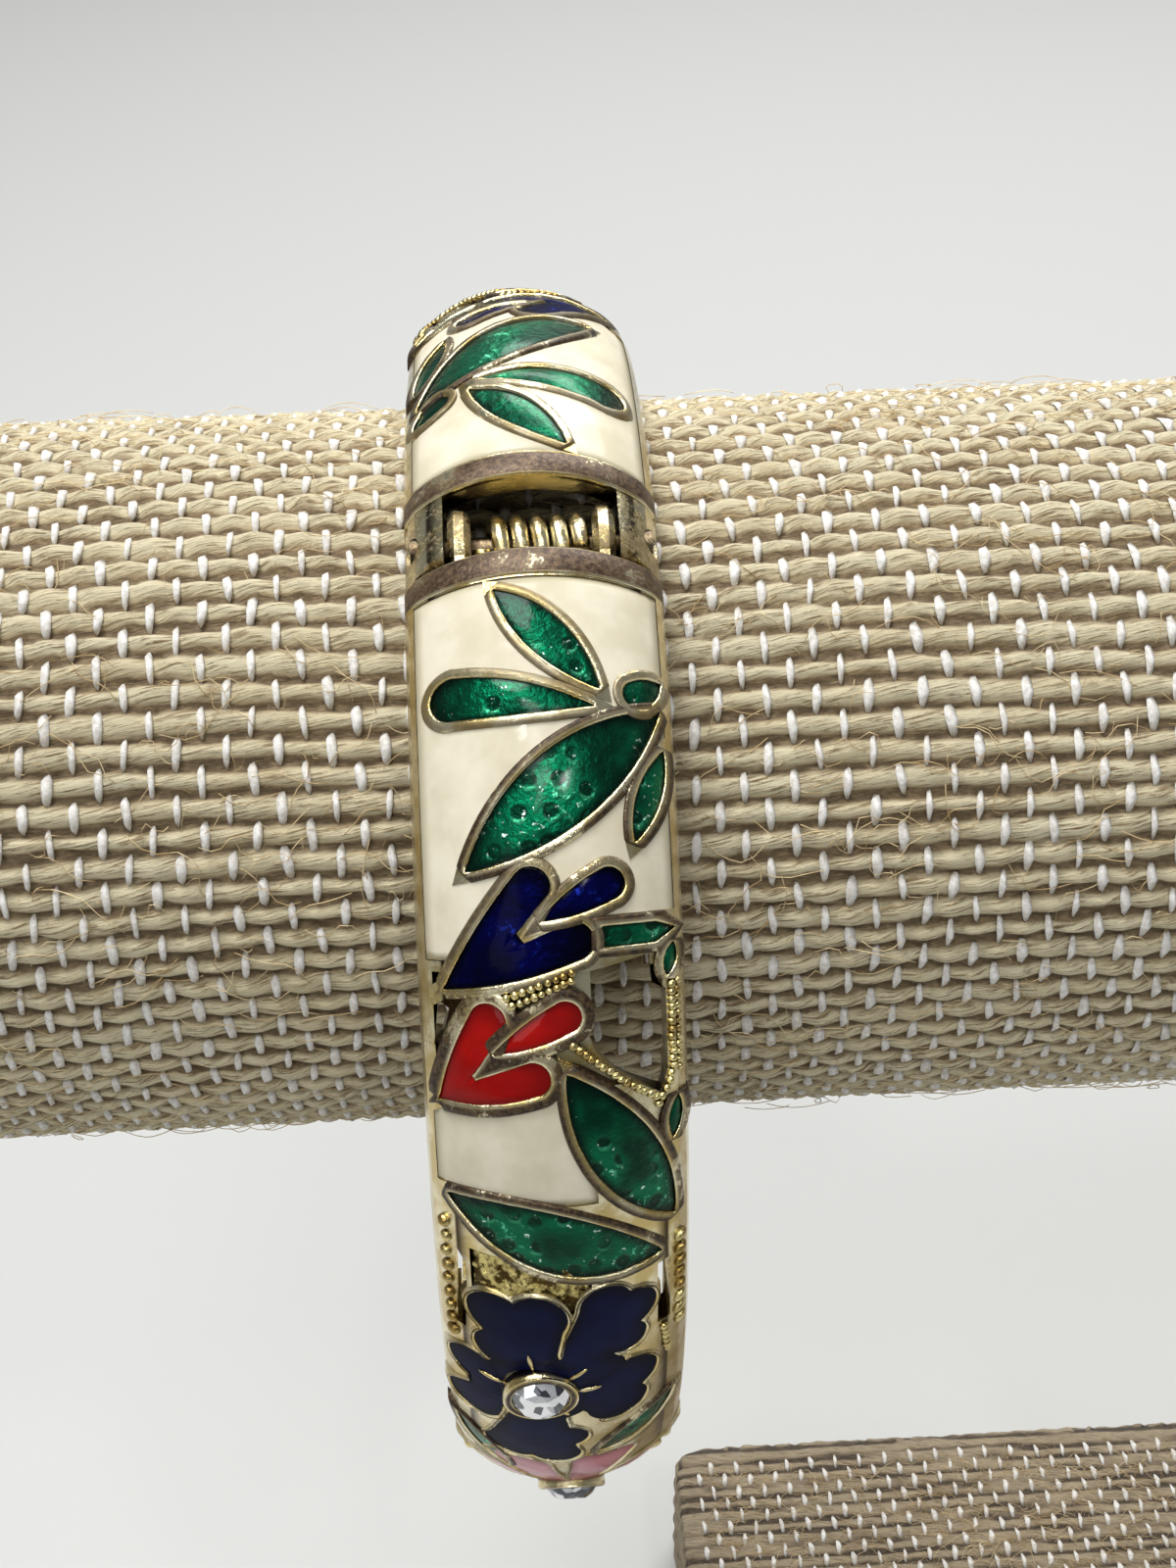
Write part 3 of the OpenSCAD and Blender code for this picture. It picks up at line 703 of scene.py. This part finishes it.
def dressHalf(half):
    metal = bmesh.new()
    fills = {colour: bmesh.new() for colour in fillLevels}
    for motif in allMotifs():
        if half == "upper" and motif["along"] < outer:
            motif["pitted"] = 0.0
        angles = evenAngles(motif["build"](0.0), motif["hub"], motif["points"])
        addFill(fills[motif["colour"]], motif, angles)
        addRim(metal, motif, angles)
    for colour, bm in fills.items():
        piece = putOnHalf(half, colour.capitalize() + "Enamel", bm, enamels[colour], f"{colour}_enamel",
                          [f"{half}_{colour}"])
        markFlatPlace(piece, half)
    roughen(putOnHalf(half, "Rims", metal, wornGilt), rims["seed"], rims["lumps"], rims["roughness"])


for half in halfBodies:
    dressHalf(half)
print("enamel and rims made")


# cream ground, in panels: start and end along the half, then the sides across it

creamLook = {"panels": [(3.62, 20.87, -5.42, 5.42), (26.4, 32.2, -5.42, 1.6)], "step": 0.42, "height": -0.055}
panelEdge = {"roll": 0.35, "rollDown": 0.05, "shallow": 0.8, "foot": 0.35}


def layPanels(half, name, look, *more):
    # each panel, and its like at the same distance from the half's free end
    bm = bmesh.new()
    depth = bm.verts.layers.float.new("depth")
    step, height = look["step"], look["height"]
    for start, end, left, right in look["panels"]:
        for low, high in ((start, end), (halfLength - end, halfLength - start)):
            counts = [max(4, round((right - left) / step)), max(4, round((high - low) / step))]
            made = bmesh.ops.create_grid(bm, x_segments=counts[0], y_segments=counts[1], size=0.5)["verts"]
            border = list(dict.fromkeys(e for v in made for e in v.link_edges if e.is_boundary))
            for v in made:
                x, s = left + (v.co.x + 0.5) * (right - left), low + (v.co.y + 0.5) * (high - low)
                gap = min(x - left, right - x, s - low, high - s)
                roll = max(0, 1 - gap / panelEdge["roll"])
                v.co = onCrown(s, x, 0, 0, height - panelEdge["rollDown"] * roll * roll)
                v[depth] = min(1, gap / panelEdge["shallow"])
            for v in pick(bmesh.ops.extrude_edge_only(bm, edges=border)["geom"], "BMVert"):
                v.co -= Vector((0, v.co.y, v.co.z)).normalized() * panelEdge["foot"]
    return putOnHalf(half, name, bm, *more)


for half in halfBodies:
    cream = layPanels(half, "CreamEnamel", creamLook, enamels["cream"], "cream_enamel", [f"{half}_cream"])
    markFlatPlace(cream, half)
print("cream ground made")


# trim laid on the band: collars, beads, hammered ground, stones and the spring

# the band's side below its crown: stretches, each how long, how far out and how far down, and the lean of what lies
# on it, as degrees at the crown's edge, degrees more and the millimetres until then
bandSide = {"from": 5.25, "stretches": [(0.945, 0.47, 0.83), (0.967, 0.18, 0.95)], "lean": (62, 20, 0.9)}


def onSection(along, place, height):
    # place is measured across the crown and on down the band's side
    side = min(abs(place), bandSide["from"])
    drop = crown - sqrt(crown ** 2 - side * side)
    lean = asin(side / crown)
    down = abs(place) - bandSide["from"]
    if down > 0:
        start, more, over = bandSide["lean"]
        lean = radians(start + min(1, down / over) * more)
        for length, out, low in bandSide["stretches"]:
            share = max(0, min(1, down / length))
            side += out * share
            drop += low * share
            down -= length
    out = outer - drop + height * cos(lean)
    return Vector((copysign(side + height * sin(lean), place), *rotated(0, out, along / outer)))


collar = {"steps": 64, "reach": 6.6,
          "section": [(2.12, -0.25, 0.0), (2.12, 0.02, 0.1), (2.24, 0.09, 1.0), (3.38, 0.09, 1.0), (3.52, 0.03, 0.1),
                      (3.54, -0.25, 0.0)]}   # along the band, how high, how worn


def dressCollar(half):
    bm = bmesh.new()
    places = [collar["reach"] * (2 * i / collar["steps"] - 1) for i in range(collar["steps"] + 1)]
    rings = [[onSection(along, place, height) for along, height, worn in collar["section"]] for place in places]
    loftRings(bm, rings, [{"flat": [row[2] for row in collar["section"]]}] * len(rings))
    putOnHalf(half, "Collar", bm, collarGilt)


# rows of beads: their line along and across the band, spacing, half the bead's length, width and height, turn
beadRows = [
    ([(34.2, -5.25), (41.5, -5.2)], 0.88, (0.36, 0.32, 0.26), 0),
    ([(35.8, 5.3), (41.6, 5.3)], 0.78, (0.44, 0.24, 0.26), 38),
    ([(22.5, 5.12), (26.4, 5.12), (27.0, 4.95), (28.0, 4.4)], 0.36, (0.2, 0.2, 0.2), 0),
    ([(22.4, 5.46), (26.6, 5.5)], 0.38, (0.2, 0.2, 0.2), 0),
    ([(24.6, 0.75), (25.4, 1.7), (26.3, 2.7), (27.6, 4.3)], 0.34, (0.22, 0.2, 0.16), 0),
    ([(22.75, -1.75), (21.75, 0.75)], 0.34, (0.2, 0.2, 0.2), 0),
    ([(22.4, -2.0), (21.4, 0.8)], 0.36, (0.2, 0.2, 0.2), 0),
    ([(41.4, 4.55), (43.4, 4.75)], 0.4, (0.26, 0.24, 0.2), 0)]
beadLook = {"size": (0.85, 1.1), "stray": 0.03, "turn": 6, "raise": 0.05, "seed": 11}


def alongLine(line, pitch):
    far = np.cumsum([0, *np.linalg.norm(np.diff(line, axis=0), axis=1)])
    marks = np.linspace(0, far[-1], max(2, round(far[-1] / pitch)) + 1)
    return zip(*[np.interp(marks, far, side) for side in np.transpose(line)])


def dressBeads(half):
    draw = random.Random(beadLook["seed"])
    bm = bmesh.new()
    stray, turnBy = beadLook["stray"], beadLook["turn"]
    for line, pitch, sizes, turn in beadRows:
        for along, across in alongLine(line, pitch):
            for place, side in ((along, 1), (halfLength - along, -1)):
                size = [c * draw.uniform(*beadLook["size"]) for c in sizes]
                spot = onSection(place, across + draw.uniform(-stray, stray), beadLook["raise"])
                turned = radians(turn * side + draw.uniform(-turnBy, turnBy))
                lean = asin(max(-1, min(1, spot.x / crown)))
                laid = (Matrix.Translation(spot) @ Matrix.Rotation(place / outer, 4, "X")
                        @ Matrix.Rotation(lean, 4, "Y") @ Matrix.Rotation(turned, 4, "Z")
                        @ Matrix.Diagonal((*size, 1)))
                bmesh.ops.create_icosphere(bm, subdivisions=2, radius=1, matrix=laid)
    putOnHalf(half, "Beads", bm, beadGilt)


hammered = {"panels": [(35.3, 38.3, -4.1, 1.1)], "step": 0.16, "height": -0.12, "seed": 23, "lumps": 0.5,
            "rough": 0.12}


def dressGround(half):
    piece = layPanels(half, "HammeredGround", hammered, groundGilt)
    roughen(piece, hammered["seed"], hammered["lumps"], hammered["rough"])


# stones: rings of the cut, each a number of points, a share of the radius, a height and a start, then the collar's
# section, as radius, height and wear
stoneCut = {"radius": 1.36, "rings": [(8, 0.56, 0.94, 22.5), (8, 0.80, 0.72, 0), (16, 1.0, 0.34, 11.25),
                                      (16, 1.0, 0.24, 11.25), (8, 0.55, -0.35, 22.5), (1, 0.0, -0.9, 0)]}
stoneCollar = [(1.78, -0.35, 0.0), (1.78, 0.22, 0.0), (1.72, 0.34, 0.0), (1.60, 0.40, 1.0), (1.46, 0.40, 1.0),
               (1.37, 0.32, 0.0), (1.36, 0.1, 0.0), (1.36, -0.3, 0.0)]
stoneNames = {"navy": "flower_stone", "pink": "tip_stone"}


def dressStones(half):
    steps = curveSteps["round"]
    for colour, node in stoneNames.items():
        along, across = flowers[colour]["centre"]
        spot = (halfMatrix(half) @ Matrix.Rotation(along / outer, 4, "X")
                @ Matrix.Translation((across, 0, outer)))
        bm = bmesh.new()
        for count, share, height, start in stoneCut["rings"]:
            for x, y in arc(0, 0, share * stoneCut["radius"], start, start + 360, count)[:count]:
                bmesh.ops.create_vert(bm, co=(x, y, height))
        bmesh.ops.convex_hull(bm, input=bm.verts)
        stone = putOnHalf(half, colour.capitalize() + "Stone", bm, cutGlass, "clear_stone", [f"{half}_{node}"], spot)
        stone.data.shade_flat()
        bm = bmesh.new()
        rings = [[(x, y, height) for x, y in arc(0, 0, radius, 0, 360, steps)[:steps]]
                 for radius, height, worn in stoneCollar]
        loftRings(bm, rings, [{"flat": row[2]} for row in stoneCollar], False)
        putOnHalf(half, colour.capitalize() + "Setting", bm, wornGilt, matrix=spot)


# thin lines of metal round the navy flower's stone: turn, then how far out they start and end
petalLines = [(100, 1.7, 2.9), (40, 1.7, 2.9), (4, 1.7, 2.9), (174, 1.7, 2.9), (-58, 1.7, 2.5), (-128, 1.7, 2.5)]
lineSizes = {"raise": 0.07, "half": 0.12}


def dressPetalLines(half):
    along, across = flowers["navy"]["centre"]
    bm = bmesh.new()
    for turn, start, end in petalLines:
        line = Matrix.Translation(((start + end) / 2, 0, lineSizes["raise"]))
        shape = Matrix.Diagonal(((end - start) / 2, lineSizes["half"], lineSizes["half"], 1))
        bmesh.ops.create_icosphere(bm, subdivisions=2, radius=1,
                                   matrix=Matrix.Rotation(radians(turn), 4, "Z") @ line @ shape)
    for v in bm.verts:
        v.co = onCrown(along, across, v.co.x, v.co.y, v.co.z)
    putOnHalf(half, "PetalLines", bm, gilt)


spring = {"wire": 0.43, "radius": 1.2, "pitch": 0.9, "turns": 5, "start": 35, "steps": 32, "sides": 14}


def makeSpring():
    bm = bmesh.new()
    ring = bmesh.ops.create_circle(bm, segments=spring["sides"], radius=spring["wire"])["verts"]
    length = spring["turns"] * spring["pitch"]
    place = (Matrix.Translation((-length / 2, 0, 0)) @ Matrix.Rotation(radians(spring["start"]), 4, "X")
             @ Matrix.Translation((0, 0, spring["radius"])) @ Matrix.Rotation(pi / 2, 4, "X"))
    bmesh.ops.transform(bm, matrix=place, verts=ring)
    edges = list(bm.edges)
    steps = spring["steps"] * spring["turns"]
    last = bmesh.ops.spin(bm, geom=edges, cent=(0, 0, 0), axis=(1, 0, 0), dvec=(length / steps, 0, 0),
                          angle=2 * pi * spring["turns"], steps=steps)["geom_last"]
    for end in (edges, pick(last, "BMEdge")):
        bmesh.ops.contextual_create(bm, geom=end)
    bmesh.ops.translate(bm, vec=(0, 0, pinRadius), verts=bm.verts)
    putPiece("hingeSpring", bm, gilt, "stand_body", ["torsion_spring"], halfMatrix("lower"))


for half in halfBodies:
    for dress in (dressCollar, dressBeads, dressGround, dressStones, dressPetalLines):
        dress(half)
makeSpring()
print("trim, stones and spring made")


# the stand's cloth: jute rows with thin white threads laid across them in turn, measured in millimetres

clothSizes = {"crest": 0.14, "rise": 0.46, "sway": 0.15, "halfRow": 0.35, "pinch": 0.13, "seam": -2.4}
# slow waves: size, how fast along a row, and how they start in each next row
rowShifts = [(0.06, 0.23, 12.9), (0.045, 0.9, 4.7)]
rowWidths = [(0.15, 0, 91.7), (0.18, 0.37, 7.3), (0.12, 1.7, 3.1)]
# unevenness all over the cloth: seed, size and how quick it is
pulls = {"along": (5, 0.10, 0.3), "around": (6, 0.07, 0.2), "height": (8, 0.012, 1.4)}


def wobble(u, v, seed, size, scale):
    draw = random.Random(seed)
    total = np.zeros_like(u)
    for octave in range(4):
        quick = scale * 1.7 ** octave
        f, g = draw.uniform(0.4, 1) * quick, draw.uniform(-1, 1) * quick
        total += 0.6 ** octave * np.sin(f * u + g * v + draw.uniform(0, aboutATurn))
    return total * size


def rowWave(waves, along, row):
    return sum(size * np.sin(speed * along + start * row) for size, speed, start in waves)


def yarnAway(along, around):
    # how far from its row's middle a place lies: one at the row's edge
    row = np.floor(around)
    halfRow = clothSizes["halfRow"] * (1 + rowWave(rowWidths, along, row))
    return np.abs(around - row - 0.5 - rowWave(rowShifts, along, row)) / halfRow


def weaveHeight(along, around):
    row, thread = np.floor(around), np.floor(along + 0.5)
    under = np.where(np.mod(row + thread, 2) < 0.5, 1, -1) * np.cos(pi * (along - thread))
    away = yarnAway(along, around) * (1 + clothSizes["pinch"] * under)
    rise = clothSizes["rise"] * (np.sqrt(np.clip(1 - away * away, 0, 1)) - 1)
    return rise - clothSizes["sway"] * under * np.clip(1.2 - away, 0, 1) + clothSizes["crest"]


def weaveWarp(u, v):
    # the weave's own measure of a place on the cloth, in threads and rows, with the pull that real cloth has
    return ((u + wobble(u, v, *pulls["along"])) / threads["acrossPitch"],
            (v + wobble(u, 0 * v, *pulls["around"])) / threads["rowPitch"])


def markWeave(mesh, along, around):
    corner = np.zeros(len(mesh.loops), int)
    mesh.loops.foreach_get("vertex_index", corner)
    mesh.uv_layers.new(name="weave").data.foreach_set("uv", np.stack([along[corner], around[corner]], 1).ravel())
    markPoints(mesh, "yarn", yarnAway(along, around))


def layOut(mesh, place, u, v, height):
    setPoints(mesh, np.stack(place(u.ravel(), v.ravel(), height.ravel()), 1))


def putCloth(name, mesh, material=burlap, stands=()):
    putMesh(name, mesh, material, "stand_body", stands)


def clothSheet(name, rangeU, rangeV, stepU, stepV, place, stands=(), cut=None):
    sizeU, sizeV = rangeU[1] - rangeU[0], rangeV[1] - rangeV[0]
    bm = bmesh.new()
    bmesh.ops.create_grid(bm, x_segments=round(sizeU / stepU), y_segments=round(sizeV / stepV), size=0.5)
    mesh = meshFrom(bm, name)
    co = readRows(mesh.vertices, "co")
    u, v = rangeU[0] + (co[:, 0] + 0.5) * sizeU, rangeV[0] + (co[:, 1] + 0.5) * sizeV
    u, v = cut(u, v) if cut else (u, v)
    along, around = weaveWarp(u, v)
    layOut(mesh, place, u, v, weaveHeight(along, around) + wobble(u, v, *pulls["height"]))
    markWeave(mesh, along, around)
    putCloth(name, mesh, stands=stands)


def repeatShape(count, build):
    # the first shapes are copied until there are enough, so a thousand take ten copies
    bm = bmesh.new()
    build(bm)
    each = [len(bm.verts), len(bm.edges), len(bm.faces)]
    made = 1
    while made < count:
        extra = min(made, count - made)
        parts = [list(seq)[:size * extra] for seq, size in zip((bm.verts, bm.edges, bm.faces), each)]
        bmesh.ops.duplicate(bm, geom=parts[0] + parts[1] + parts[2])
        made += extra
    mesh = meshFrom(bm, "repeated")
    return mesh, readRows(mesh.vertices, "co").reshape(count, each[0], 3)


whiteLook = {"halfWidth": 0.25, "halfLength": 0.98, "thick": 0.16, "raise": 0.02, "dive": 0.46, "skew": 0.1,
             "taper": 0.3, "low": 0.1, "size": (0.7, 1.26), "seed": 17}


def whiteThreads(name, rangeU, rangeV, place, inside=lambda u, v: True):
    pitch, rowPitch = threads["acrossPitch"], threads["rowPitch"]
    rows = [int(np.floor(v / rowPitch)) for v in rangeV]
    spots = [(thread, row) for row in range(*rows)
             for thread in range(ceil(rangeU[0] / pitch), ceil(rangeU[1] / pitch))
             if (thread + row) % 2 == 0 and inside(thread * pitch, (row + 0.5) * rowPitch)]
    mesh, co = repeatShape(len(spots), lambda bm: bmesh.ops.create_icosphere(bm, subdivisions=1, radius=1))
    draw = np.random.default_rng(whiteLook["seed"])
    thread, row = np.array(spots, float).T[:, :, None]
    size = draw.uniform(*whiteLook["size"], (len(spots), 3))
    across = co[:, :, 0] * whiteLook["halfWidth"] * size[:, None, 0] * (1 - whiteLook["taper"] * co[:, :, 1])
    down = co[:, :, 1] * whiteLook["halfLength"] * (0.5 + 0.5 * size[:, None, 1])
    lift = co[:, :, 2] * whiteLook["thick"] * size[:, None, 2]
    across = across + down * draw.uniform(-1, 1, (len(spots), 1)) * whiteLook["skew"]
    u = thread * pitch + across
    v = (row + 0.5 + rowWave(rowShifts, thread, row)) * rowPitch + down + whiteLook["low"]
    u = u - wobble(u, v, *pulls["along"])
    v = v - wobble(u, 0 * v, *pulls["around"])
    height = clothSizes["crest"] + whiteLook["raise"] + lift
    height = height - whiteLook["dive"] * (down / whiteLook["halfLength"]) ** 2
    layOut(mesh, place, u, v, height)
    # how near a point lies to the thread's ends, for the painted shade there
    markPoints(mesh, "dive", np.maximum(co[:, :, 1], -0.6 * co[:, :, 1]).ravel())
    putCloth(name, mesh, whiteThread)


fibreLook = {"count": 5200, "cuts": 4, "length": (0.8, 4.2), "thick": 0.027, "curl": 0.9, "lift": 0.7, "sink": 0.1,
             "turn": 0.7, "strayTurn": 1.2, "seed": 29}


def addFibre(bm):
    bmesh.ops.create_cone(bm, cap_ends=True, segments=3, radius1=1, radius2=1, depth=2)
    upright = [e for e in bm.edges if abs(e.verts[0].co.z - e.verts[1].co.z) > 1]
    bmesh.ops.subdivide_edges(bm, edges=upright, cuts=fibreLook["cuts"])


def strayFibres(name, rangeU, rangeV, place):
    count = fibreLook["count"]
    mesh, co = repeatShape(count, addFibre)
    draw = np.random.default_rng(fibreLook["seed"])

    def one(low, high):
        return draw.uniform(low, high, (count, 1))

    along = co[:, :, 2]
    length = one(*fibreLook["length"]) / 2
    most, stray = fibreLook["turn"], fibreLook["strayTurn"]
    turn = one(-most, most) + (one(0, 1) > 0.75) * one(-stray, stray)
    bend = one(-1, 1) * fibreLook["curl"] * along * along + one(-0.4, 0.4) * np.sin(along * 4)
    x, y = along * length, bend + co[:, :, 0] * fibreLook["thick"]
    u = one(*rangeU) + x * np.cos(turn) - y * np.sin(turn)
    v = one(*rangeV) + x * np.sin(turn) + y * np.cos(turn)
    lift = one(0.2, 1) ** 2 * fibreLook["lift"] * (1 - along * along * one(0.2, 1))
    height = clothSizes["crest"] + lift - fibreLook["sink"] + co[:, :, 1] * fibreLook["thick"]
    layOut(mesh, place, u, v, height)
    putCloth(name, mesh, looseFibre)


barLow, barHigh = [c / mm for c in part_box("display_bar")]
barRadius, barAxis = (barHigh.z - barLow.z) / 2, (barHigh.z + barLow.z) / 2
barTurn = round(2 * pi * barRadius / threads["rowPitch"]) * threads["rowPitch"]
# stretches of the bar's cloth, from left to right, with the size of the mesh's cells; the first two hold the bangle
barStretches = [(barLow.x, pinPlace.x + 8, 0.34, 0.25), (pinPlace.x + 8, pinPlace.x + 50, 0.34, 0.25),
                (pinPlace.x + 50, barHigh.x, 0.7, 0.375)]
# the disc of cloth on the bar's end: how far it stands past the bar, where white threads stop, the share of its
# radius from which it turns in, and where on the weave the two discs are cut from
barEnd = {"past": 0.1, "cells": (0.5, 0.34), "threadsIn": 1.6, "turnsAt": 0.94, "turnsIn": 0.6, "deep": 0.2,
          "weaveAt": 500, "weaveApart": 60, "threadsFrom": 0.4, "fibresFrom": 3}


def onBar(u, v, height):
    angle = v / barTurn * 2 * pi + clothSizes["seam"]
    radius = barRadius + height
    return u, -radius * np.sin(angle), barAxis + radius * np.cos(angle)


def coverBar():
    around, gap, inset = (0, barTurn), barEnd["threadsFrom"], barEnd["fibresFrom"]
    for number, (start, end, stepU, stepV) in enumerate(barStretches):
        clothSheet(f"barCloth{number}", (start, end), around, stepU, stepV, onBar, () if number else ["display_bar"])
        whiteThreads(f"barWhite{number}", (max(start, barLow.x + gap), min(end, barHigh.x - gap)), around, onBar)
    strayFibres("barFibres", (barLow.x + inset, barHigh.x - inset), around, onBar)
    capEnd("Left", -1)
    capEnd("Right", 1)


def capEnd(name, side):
    # a disc of the same cloth, turned in round the bar's end
    reach = barRadius + barEnd["past"]
    middle = barEnd["weaveAt"] + barEnd["weaveApart"] * side

    def roundOff(u, v):
        x, y = (u - middle) / reach, v / reach
        squeeze = np.maximum(np.abs(x), np.abs(y)) / np.clip(np.hypot(x, y), 1e-9, None)
        return middle + x * squeeze * reach, y * squeeze * reach

    def onEnd(u, v, height):
        far = np.hypot(u - middle, v) / reach
        edge = np.clip((far - barEnd["turnsAt"]) / (1 - barEnd["turnsAt"]), 0, 1)
        out = side * (barHigh.x + (height - barEnd["deep"]) * (1 - edge) - edge * edge * barEnd["turnsIn"])
        return out, u - middle, barAxis + v

    span = (middle - reach, middle + reach), (-reach, reach)
    clothSheet("barEnd" + name, *span, *barEnd["cells"], onEnd, cut=roundOff)
    whiteThreads("barEndWhite" + name, *span, onEnd,
                 lambda u, v: hypot(u - middle, v) < reach - barEnd["threadsIn"])


postLow, postHigh = [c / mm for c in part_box("display_post")]
postRadius = (postHigh.x - postLow.x) / 2
postTurn = round(2 * pi * postRadius / threads["acrossPitch"] / 2) * 2 * threads["acrossPitch"]
postCover = {"cells": (0.5, 0.3), "sink": 0.1, "intoBar": 3.0, "threadsFrom": 1}


def onPost(u, v, height):
    angle = u / postTurn * 2 * pi
    radius = postRadius + height - postCover["sink"]
    return radius * np.sin(angle), radius * np.cos(angle), v


def coverPost():
    low, high = postLow.z - postCover["sink"], barAxis - barRadius + postCover["intoBar"]
    inset = postCover["threadsFrom"]
    clothSheet("postCloth", (0, postTurn), (low, high), *postCover["cells"], onPost, ["display_post"])
    whiteThreads("postWhite", (0, postTurn - 0.1), (low + inset, high - inset), onPost)


baseCover = {"cell": 0.55, "smoothing": 3, "weave": 0.6}
baseLow, baseHigh = [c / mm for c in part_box("display_base")]


def coverBase():
    bm = bmesh.new()
    bm.from_mesh(frame["nodes"]["display_base"].data)
    bmesh.ops.remove_doubles(bm, verts=bm.verts, dist=1e-6)
    rough = meshFrom(bm, "baseRough")
    holder = addObject("baseRough", rough)
    cells = holder.modifiers.new("cells", "REMESH")
    cells.mode = "VOXEL"
    cells.voxel_size = baseCover["cell"] * mm
    holder.modifiers.new("soften", "SMOOTH").iterations = baseCover["smoothing"]
    mesh = bpy.data.meshes.new_from_object(holder.evaluated_get(bpy.context.evaluated_depsgraph_get()))
    bpy.data.objects.remove(holder)
    bpy.data.meshes.remove(rough)
    co, normal = readRows(mesh.vertices, "co") / mm, readRows(mesh.vertex_normals, "vector")
    # the cloth's own axes run across and along the top, and straight down the sides
    x, y, z = np.abs(normal).T
    along, around = weaveWarp(np.where((x > y) & (x > z), co[:, 1], co[:, 0]),
                              np.where(z >= np.maximum(x, y), co[:, 1], co[:, 2]))
    co += normal * (weaveHeight(along, around) * baseCover["weave"])[:, None]
    co[:, 2] = np.maximum(co[:, 2], 0)
    setPoints(mesh, co)
    mesh.materials.clear()
    markWeave(mesh, along, around)
    putCloth("baseCloth", mesh, shadedBurlap, ["display_base"])


def inward(side, gap):
    return getattr(baseLow, side) + gap, getattr(baseHigh, side) - gap


# the base's faces: the stretch that white threads cover, across and along, and the way out of the face
baseFaces = {"Top": (inward("x", 2), inward("y", 2), lambda u, v, height: (u, v, baseHigh.z + height)),
             "Front": (inward("x", 4), inward("z", 1), lambda u, v, height: (u, baseLow.y - height, v)),
             "Back": (inward("x", 4), inward("z", 1), lambda u, v, height: (u, baseHigh.y + height, v))}

coverBar()
coverPost()
coverBase()
for side, face in baseFaces.items():
    whiteThreads(f"base{side}White", *face)
strayFibres("baseFibres", inward("x", 3), inward("y", 3), baseFaces["Top"][2])
print("stand covered")


# floor, light and air

stage = {"floor": srgb(198, 198, 195), "rough": 0.8, "half": 2, "air": srgb(214, 220, 224), "airStrength": 0.3}
lamps = {   # place beside, before and above the hinge in metres, size, power
    "ceilingKey": ((-0.12, 0.06, 0.55), (0.34, 0.26), 3.2),
    "ceilingBack": ((0.24, 0.62, 0.50), (0.7, 0.3), 4.6),
    "frontWindow": ((-0.38, -0.62, 0.30), (0.34, 0.4), 0.5),
    "frontCeiling": ((-0.03, -0.27, 0.40), (0.11, 0.11), 0.35),
    "spotLeft": ((-0.10, -0.20, 0.42), (0.035, 0.035), 0.22),
    "spotRight": ((0.12, -0.26, 0.36), (0.04, 0.04), 0.22)}


def setStage():
    bm = bmesh.new()
    bmesh.ops.create_grid(bm, x_segments=1, y_segments=1, size=stage["half"])
    mesh = meshFrom(bm, "paleFloor")
    material, tree, shader = newMaterial("palePaper")
    setInputs(shader, {"Base Color": stage["floor"], "Roughness": stage["rough"]})
    mesh.materials.append(material)
    floor = addObject("paleFloor", mesh)
    world = bpy.data.worlds.new("air")
    world.use_nodes = True
    setInputs(world.node_tree.nodes["Background"], {0: stage["air"], 1: stage["airStrength"]})
    scene.world = world
    for name, (place, size, power) in lamps.items():
        light = bpy.data.lights.new(name, "AREA")
        light.shape = "ELLIPSE"
        light.size, light.size_y = size
        light.energy = power
        lamp = addObject(name, light)
        lamp.location = pinPlace * mm + Vector(place)
        lamp.rotation_euler = Vector(place).to_track_quat("Z", "Y").to_euler()


setStage()
print("stage set")

# what shows of the frame itself: the castings and the pin
nodeFinish = {"display_bar": burlap, "display_post": burlap, "display_base": burlap, "hinge_pin": pinGilt}
for name, node in frame["nodes"].items():
    node.data.materials.clear()
    node.data.materials.append(nodeFinish.get(name, castGilt))
